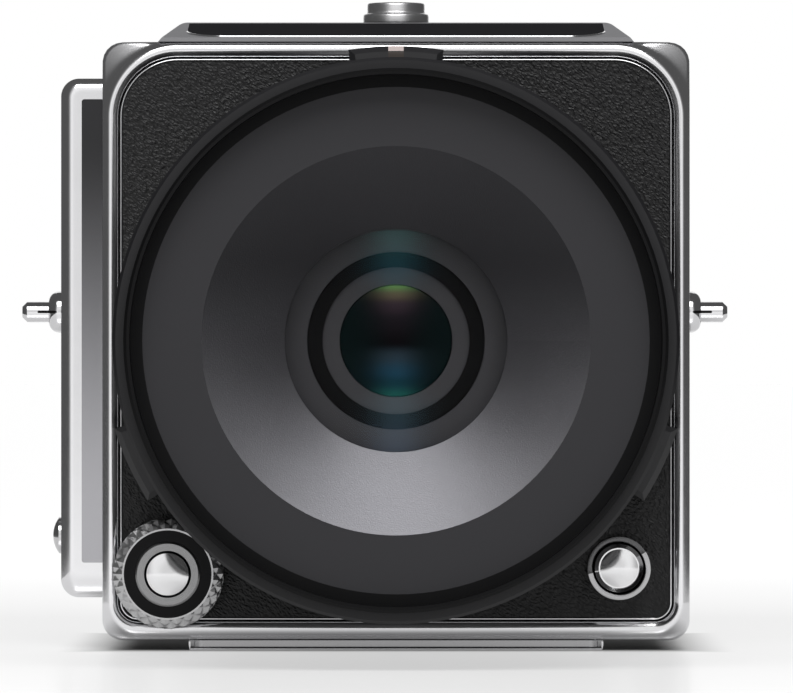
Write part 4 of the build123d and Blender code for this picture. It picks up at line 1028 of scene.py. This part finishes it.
def grip_ring(name, node, body, bore, ribs, depth, plain_edge):
    """A ring whose skin is cut by grooves along the axis, between two plain edges."""
    low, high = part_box(node)
    outer = (high.x - low.x) / 2
    steps = ribs * groove_steps
    along = np.array([0, grip_bevel, plain_edge, plain_edge + groove_end])
    along = low.y + np.concatenate([along, (high.y - low.y) - along[::-1]])
    base = outer - np.array([grip_bevel, 0, 0, 0, 0, 0, 0, grip_bevel])
    cut_share = np.array([0, 0, 0, 1, 1, 0, 0, 0])
    angle = np.linspace(0, 2 * np.pi, steps, endpoint=False)[:, None]
    wave = np.clip(groove_level - groove_swing * np.cos(ribs * angle), 0, 1)
    radius = base[None, :] - depth * wave * cut_share[None, :]
    radius = np.concatenate([radius, np.full((steps, 2), bore)], axis=1)
    along = np.concatenate([along, [high.y, low.y]])
    profile = np.stack([radius, np.broadcast_to(along, radius.shape)], axis=-1)
    points = turn_profile(profile, steps, (0, 0, axis_z))
    add_piece(name, points, True, True, "ring_black", body, (node,), crease=30.0)


for name, node, body, bore, ribs, depth, plain_edge in (
    ("control_grip", "control_ring", "control", 34.05, 120, 0.45, 1.2),
    ("focus_grip", "focus_ring", "focus", 35.10, 132, 0.50, 2.2),
):
    grip_ring(name, node, body, bore * MM, ribs, depth * MM, plain_edge * MM)


# %% [markdown]
# A glass element is a closed body with two domes. The dome is shallow, so a parabola is close
# enough to the sphere: its height over the rim falls with the square of the radius.

# %% Glass elements
dome_steps = 20
lens_steps = 96


def glass_body(name, node, clear, crown, slot):
    """Both domes, the flat rim and the edge of a lens element, from pole to pole."""
    low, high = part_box(node)
    rim = (high.x - low.x) / 2
    share = np.linspace(0, 1, dome_steps)
    dome = crown * (1 - share ** 2)
    front = np.stack([clear * share, low.y + crown - dome], axis=-1)
    edge = np.array([[rim, low.y + crown], [rim, high.y - crown]])
    back = np.stack([clear * share, high.y - crown + dome], axis=-1)[::-1]
    profile = np.concatenate([front, edge, back])
    points = turn_profile(profile, lens_steps, (0, 0, axis_z))
    add_piece(name, points, True, False, slot, "lens", (node,), crease=30.0)


for name, node, clear, crown, slot in (
    ("front_lens", "front_element", 15.1, 0.9, "front_glass"),
    ("inner_lens", "inner_element", 7.65, 0.7, "inner_glass"),
    ("rear_lens", "rear_element", 18.4, 1.6, "rear_glass"),
):
    glass_body(name, node, clear * MM, crown * MM, slot)

# %% [markdown]
# The two buttons beside the lens are polished domes. A dome shows a small picture of all that
# lies round it, so the black lens turns up in it as a dark wedge on the side of the lens. Both
# are one profile turned about its axis, with a groove and a rim where there is room.

# %% Domed buttons
dome_groove = 0.14 * MM
button_steps = 72
rim_width = 1.5
rim_top = 0.3
rim_foot = 1.5
skirt_top = 2.0


def domed_button(name, node, dome_radius, crown, body):
    """A dome that falls with the square of the radius, and a rim round it where there is room."""
    low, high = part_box(node)
    outer = (high.x - low.x) / 2
    share = np.linspace(0, 1, dome_steps)
    dome = np.stack([dome_radius * share, low.y + crown * share ** 2], axis=-1)
    sunk_y = low.y + crown + dome_groove
    rim = np.array([[dome_radius, sunk_y], [dome_radius + dome_groove, sunk_y],
                    [dome_radius + rim_width * dome_groove, low.y + rim_top * crown],
                    [outer, low.y + rim_foot * crown]])
    side = np.array([[outer, low.y + skirt_top * crown], [outer, high.y], [0, high.y]])
    has_room = outer - dome_radius > 4 * dome_groove
    profile = np.concatenate([dome, rim, side] if has_room else [dome, side])
    points = turn_profile(profile, button_steps, middle_of(low, high))
    add_piece(name, points, True, False, "button_chrome", body, (node,), crease=30.0)


domed_button("shutter_dome", "shutter_button", 3.0 * MM, 0.33 * MM, "shutter")
domed_button("release_dome", "lens_release_button", 2.7 * MM, 0.33 * MM, "lens_release")

# %% [markdown]
# The lens release stands in a collar that is cut low on the side of the lens, so a finger can reach in. It is
# drawn as two arcs, a high one round the outside and a low one towards the lens, each a softened rectangle
# carried round the button's axis. The low arc gets a darker copy of the collar's metal, which is painted
# shade.

# %% Collar round the lens release
guard_low, guard_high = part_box("release_guard")
guard_centre = middle_of(guard_low, guard_high)
guard_outer = (guard_high.x - guard_low.x) / 2
guard_bore = 3.75 * MM
guard_sink = 0.70
high_arc = (190, 392)
low_arc = (32, 190)
guard_edge = 0.12 * MM
guard_steps = 72
# A darker copy of the collar's metal for the low arc: painted shade.
build_finish("guard_painted_shade", wipe_marks, 5.0, grey(0.10, 0.16, 0.02), (0.22, 0.32), 0.002, 1.0)


def guard_arc(name, arc, front_y, slot, replaced):
    """A softened rectangle carried round an arc, its two ends drawn together."""
    section = soften(np.array([[guard_bore, front_y], [guard_outer, front_y], [guard_outer, guard_high.y],
                               [guard_bore, guard_high.y]]), guard_edge)
    angle = np.radians(np.linspace(arc[0], arc[1], guard_steps))[:, None]
    points = np.stack([guard_centre[0] + section[:, 0] * np.cos(angle), section[:, 1] + 0 * angle,
                       guard_centre[2] + section[:, 0] * np.sin(angle)], axis=-1)
    add_piece(name, close_ends(points), False, True, slot, "camera_body", replaced, crease=30.0)


low_front_y = guard_low.y + guard_sink * (guard_high.y - guard_low.y)
guard_arc("guard_high", high_arc, guard_low.y, "guard_chrome", ("release_guard",))
guard_arc("guard_low", low_arc, low_front_y, "guard_painted_shade", ())

# %% [markdown]
# The release on top of the back is a turned knob in two steps. Its edges are broken by a small
# round, which draws the bright line between the steps.

# %% Release knob
knob_low, knob_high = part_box("back_release")
knob_centre = middle_of(knob_low, knob_high)
knob_radius = (knob_high.x - knob_low.x) / 2
knob_top_radius = 4.2 * MM
knob_height = 3.3 * MM
knob_step = 1.6 * MM
knob_foot_z = knob_high.z - knob_height
knob_step_z = knob_foot_z + knob_step
stem_radius = 1.6 * MM
pin_hole_radius = 0.5 * MM
pin_hole_depth = 0.25 * MM
knob_rim = 1.2 * MM
knob_dish = 0.20 * MM
knob_round = 0.45 * MM
knob_corners = np.array([[knob_top_radius, knob_high.z], [knob_top_radius, knob_step_z],
                         [knob_radius, knob_step_z], [knob_radius, knob_foot_z],
                         [stem_radius, knob_foot_z], [stem_radius, knob_low.z],
                         [pin_hole_radius, knob_low.z], [pin_hole_radius, knob_high.z - pin_hole_depth],
                         [knob_top_radius - knob_rim, knob_high.z - knob_dish]])
knob_profile = soften(knob_corners, knob_round, 6)
add_piece("release_knob", turn_profile(knob_profile, lens_steps, knob_centre, "Z"), True, True,
          "release_silver", "release_catch", ("back_release",), crease=40.0)

# %% [markdown]
# Small parts finish the body: a dark line through each strap lug, which is a painted reflection of the horizon
# in the lug's round pin, the mount's index at the top of the black collar, and the screws that hold the rear
# cover. Each is a small grid that sits on the solid that carries it.

# %% Painted reflection lines on the strap lugs
reflection_line_length = 2.6 * MM
reflection_line_height = 0.36 * MM
reflection_line_proud = 0.03 * MM
reflection_line_inset = 0.9 * MM
lug_pin_radius = 1.5 * MM
reflection_line_steps = 32


def lug_painted_reflection(name, node, side):
    """A thin dark plate through the pin, a painted reflection of the horizon: its outline is a long slot,
    carried from front to back.
    """
    low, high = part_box(node)
    middle = (low.z + high.z) / 2
    pin_reach = lug_pin_radius + reflection_line_proud
    inner = (high.x if side < 0 else low.x) + side * reflection_line_inset
    turn = np.linspace(0, 2 * np.pi, reflection_line_steps, endpoint=False)
    half = reflection_line_height / 2
    run = np.where(np.cos(turn) > 0, reflection_line_length - reflection_line_height, 0) + half * np.cos(turn)
    x = inner + side * (half + run)
    z = middle + half * np.sin(turn)
    reach = np.array([0, 1, 1, 0])[:, None]
    y = np.array([-1, -1, 1, 1])[:, None] * pin_reach * np.ones_like(x)[None, :]
    centre_x = inner + side * reflection_line_length / 2
    points = np.stack([centre_x + (x - centre_x) * reach, y, middle + (z - middle) * reach], axis=-1)
    add_piece(name, points, False, True, "baffle_black", "camera_body")


lug_painted_reflection("lug_painted_reflection_left", "lug_left", -1)
lug_painted_reflection("lug_painted_reflection_right", "lug_right", 1)

# %% Index on the mount collar
collar_low, collar_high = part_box("mount_collar")
index_width = 2.2 * MM
index_proud = 0.03 * MM
collar_edge = 0.8 * MM
strip_rows = 12
strip_columns = 6
patch_low = 82.0 * MM
index_low = collar_high.z - 0.75 * MM
index_high = collar_high.z - 0.05 * MM
build_finish("index_brown", speckle, 6.0, ((0.030, 0.022, 0.018), (0.045, 0.030, 0.022)), (0.35, 0.45), 0.002)
build_finish("index_white", speckle, 6.0, ((0.62, 0.52, 0.50), (0.72, 0.62, 0.60)), (0.40, 0.50), 0.002)


def collar_strip(name, half_width, low_z, high_z, slot):
    """A thin strip over the collar's face and bevel: the path up the collar, carried across."""
    path = np.array([[low_z, collar_low.y], [collar_high.z - collar_edge, collar_low.y],
                     [collar_high.z, collar_low.y + collar_edge]])
    share = np.linspace(0, 1, strip_rows)
    z = low_z + (high_z - low_z) * share
    y = np.interp(z, path[:, 0], path[:, 1])
    across = np.linspace(-half_width, half_width, strip_columns)
    face = np.stack(np.broadcast_arrays(across[:, None], y[None, :] - index_proud, z[None, :] + index_proud),
                    axis=-1)
    back = face + np.array([0, 2 * index_proud, -2 * index_proud])
    points = close_ends(np.concatenate([face, back[:, ::-1]], axis=1))
    add_piece(name, points, False, True, slot, "camera_body", crease=30.0)


collar_strip("index_patch", index_width / 2, patch_low, index_low, "index_brown")
collar_strip("index_mark", index_width / 2, index_low, index_high, "index_white")

# %% Screws of the rear cover
rear_low, rear_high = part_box("rear_cover")
screw_radius = 1.1 * MM
screw_proud = 0.15 * MM
screw_inset = 3.6 * MM
socket_radius = 0.5 * MM
socket_depth = 0.10 * MM
screw_foot = -0.3 * MM
screw_steps = 24
head_bevel = 0.2 * MM
head_drop = 0.12 * MM
build_finish("screw_black", turned_rings, 5.0, grey(0.016, 0.024), (0.30, 0.40), 0.003, 0.6, axis_centre)
screw_profile = np.array([[0, screw_proud - socket_depth], [socket_radius, screw_proud - socket_depth],
                          [socket_radius, screw_proud], [screw_radius - head_bevel, screw_proud],
                          [screw_radius, screw_proud - head_drop], [screw_radius, screw_foot],
                          [0, screw_foot]]) + np.array([0, rear_high.y])
for row, z in (("low", rear_low.z + screw_inset), ("high", rear_high.z - screw_inset)):
    for side, x in (("left", rear_low.x + screw_inset), ("right", rear_high.x - screw_inset)):
        points = turn_profile(screw_profile, screw_steps, (x, 0, z))
        add_piece(f"cover_screw_{row}_{side}", points, True, False, "screw_black", "digital_back", crease=30.0)
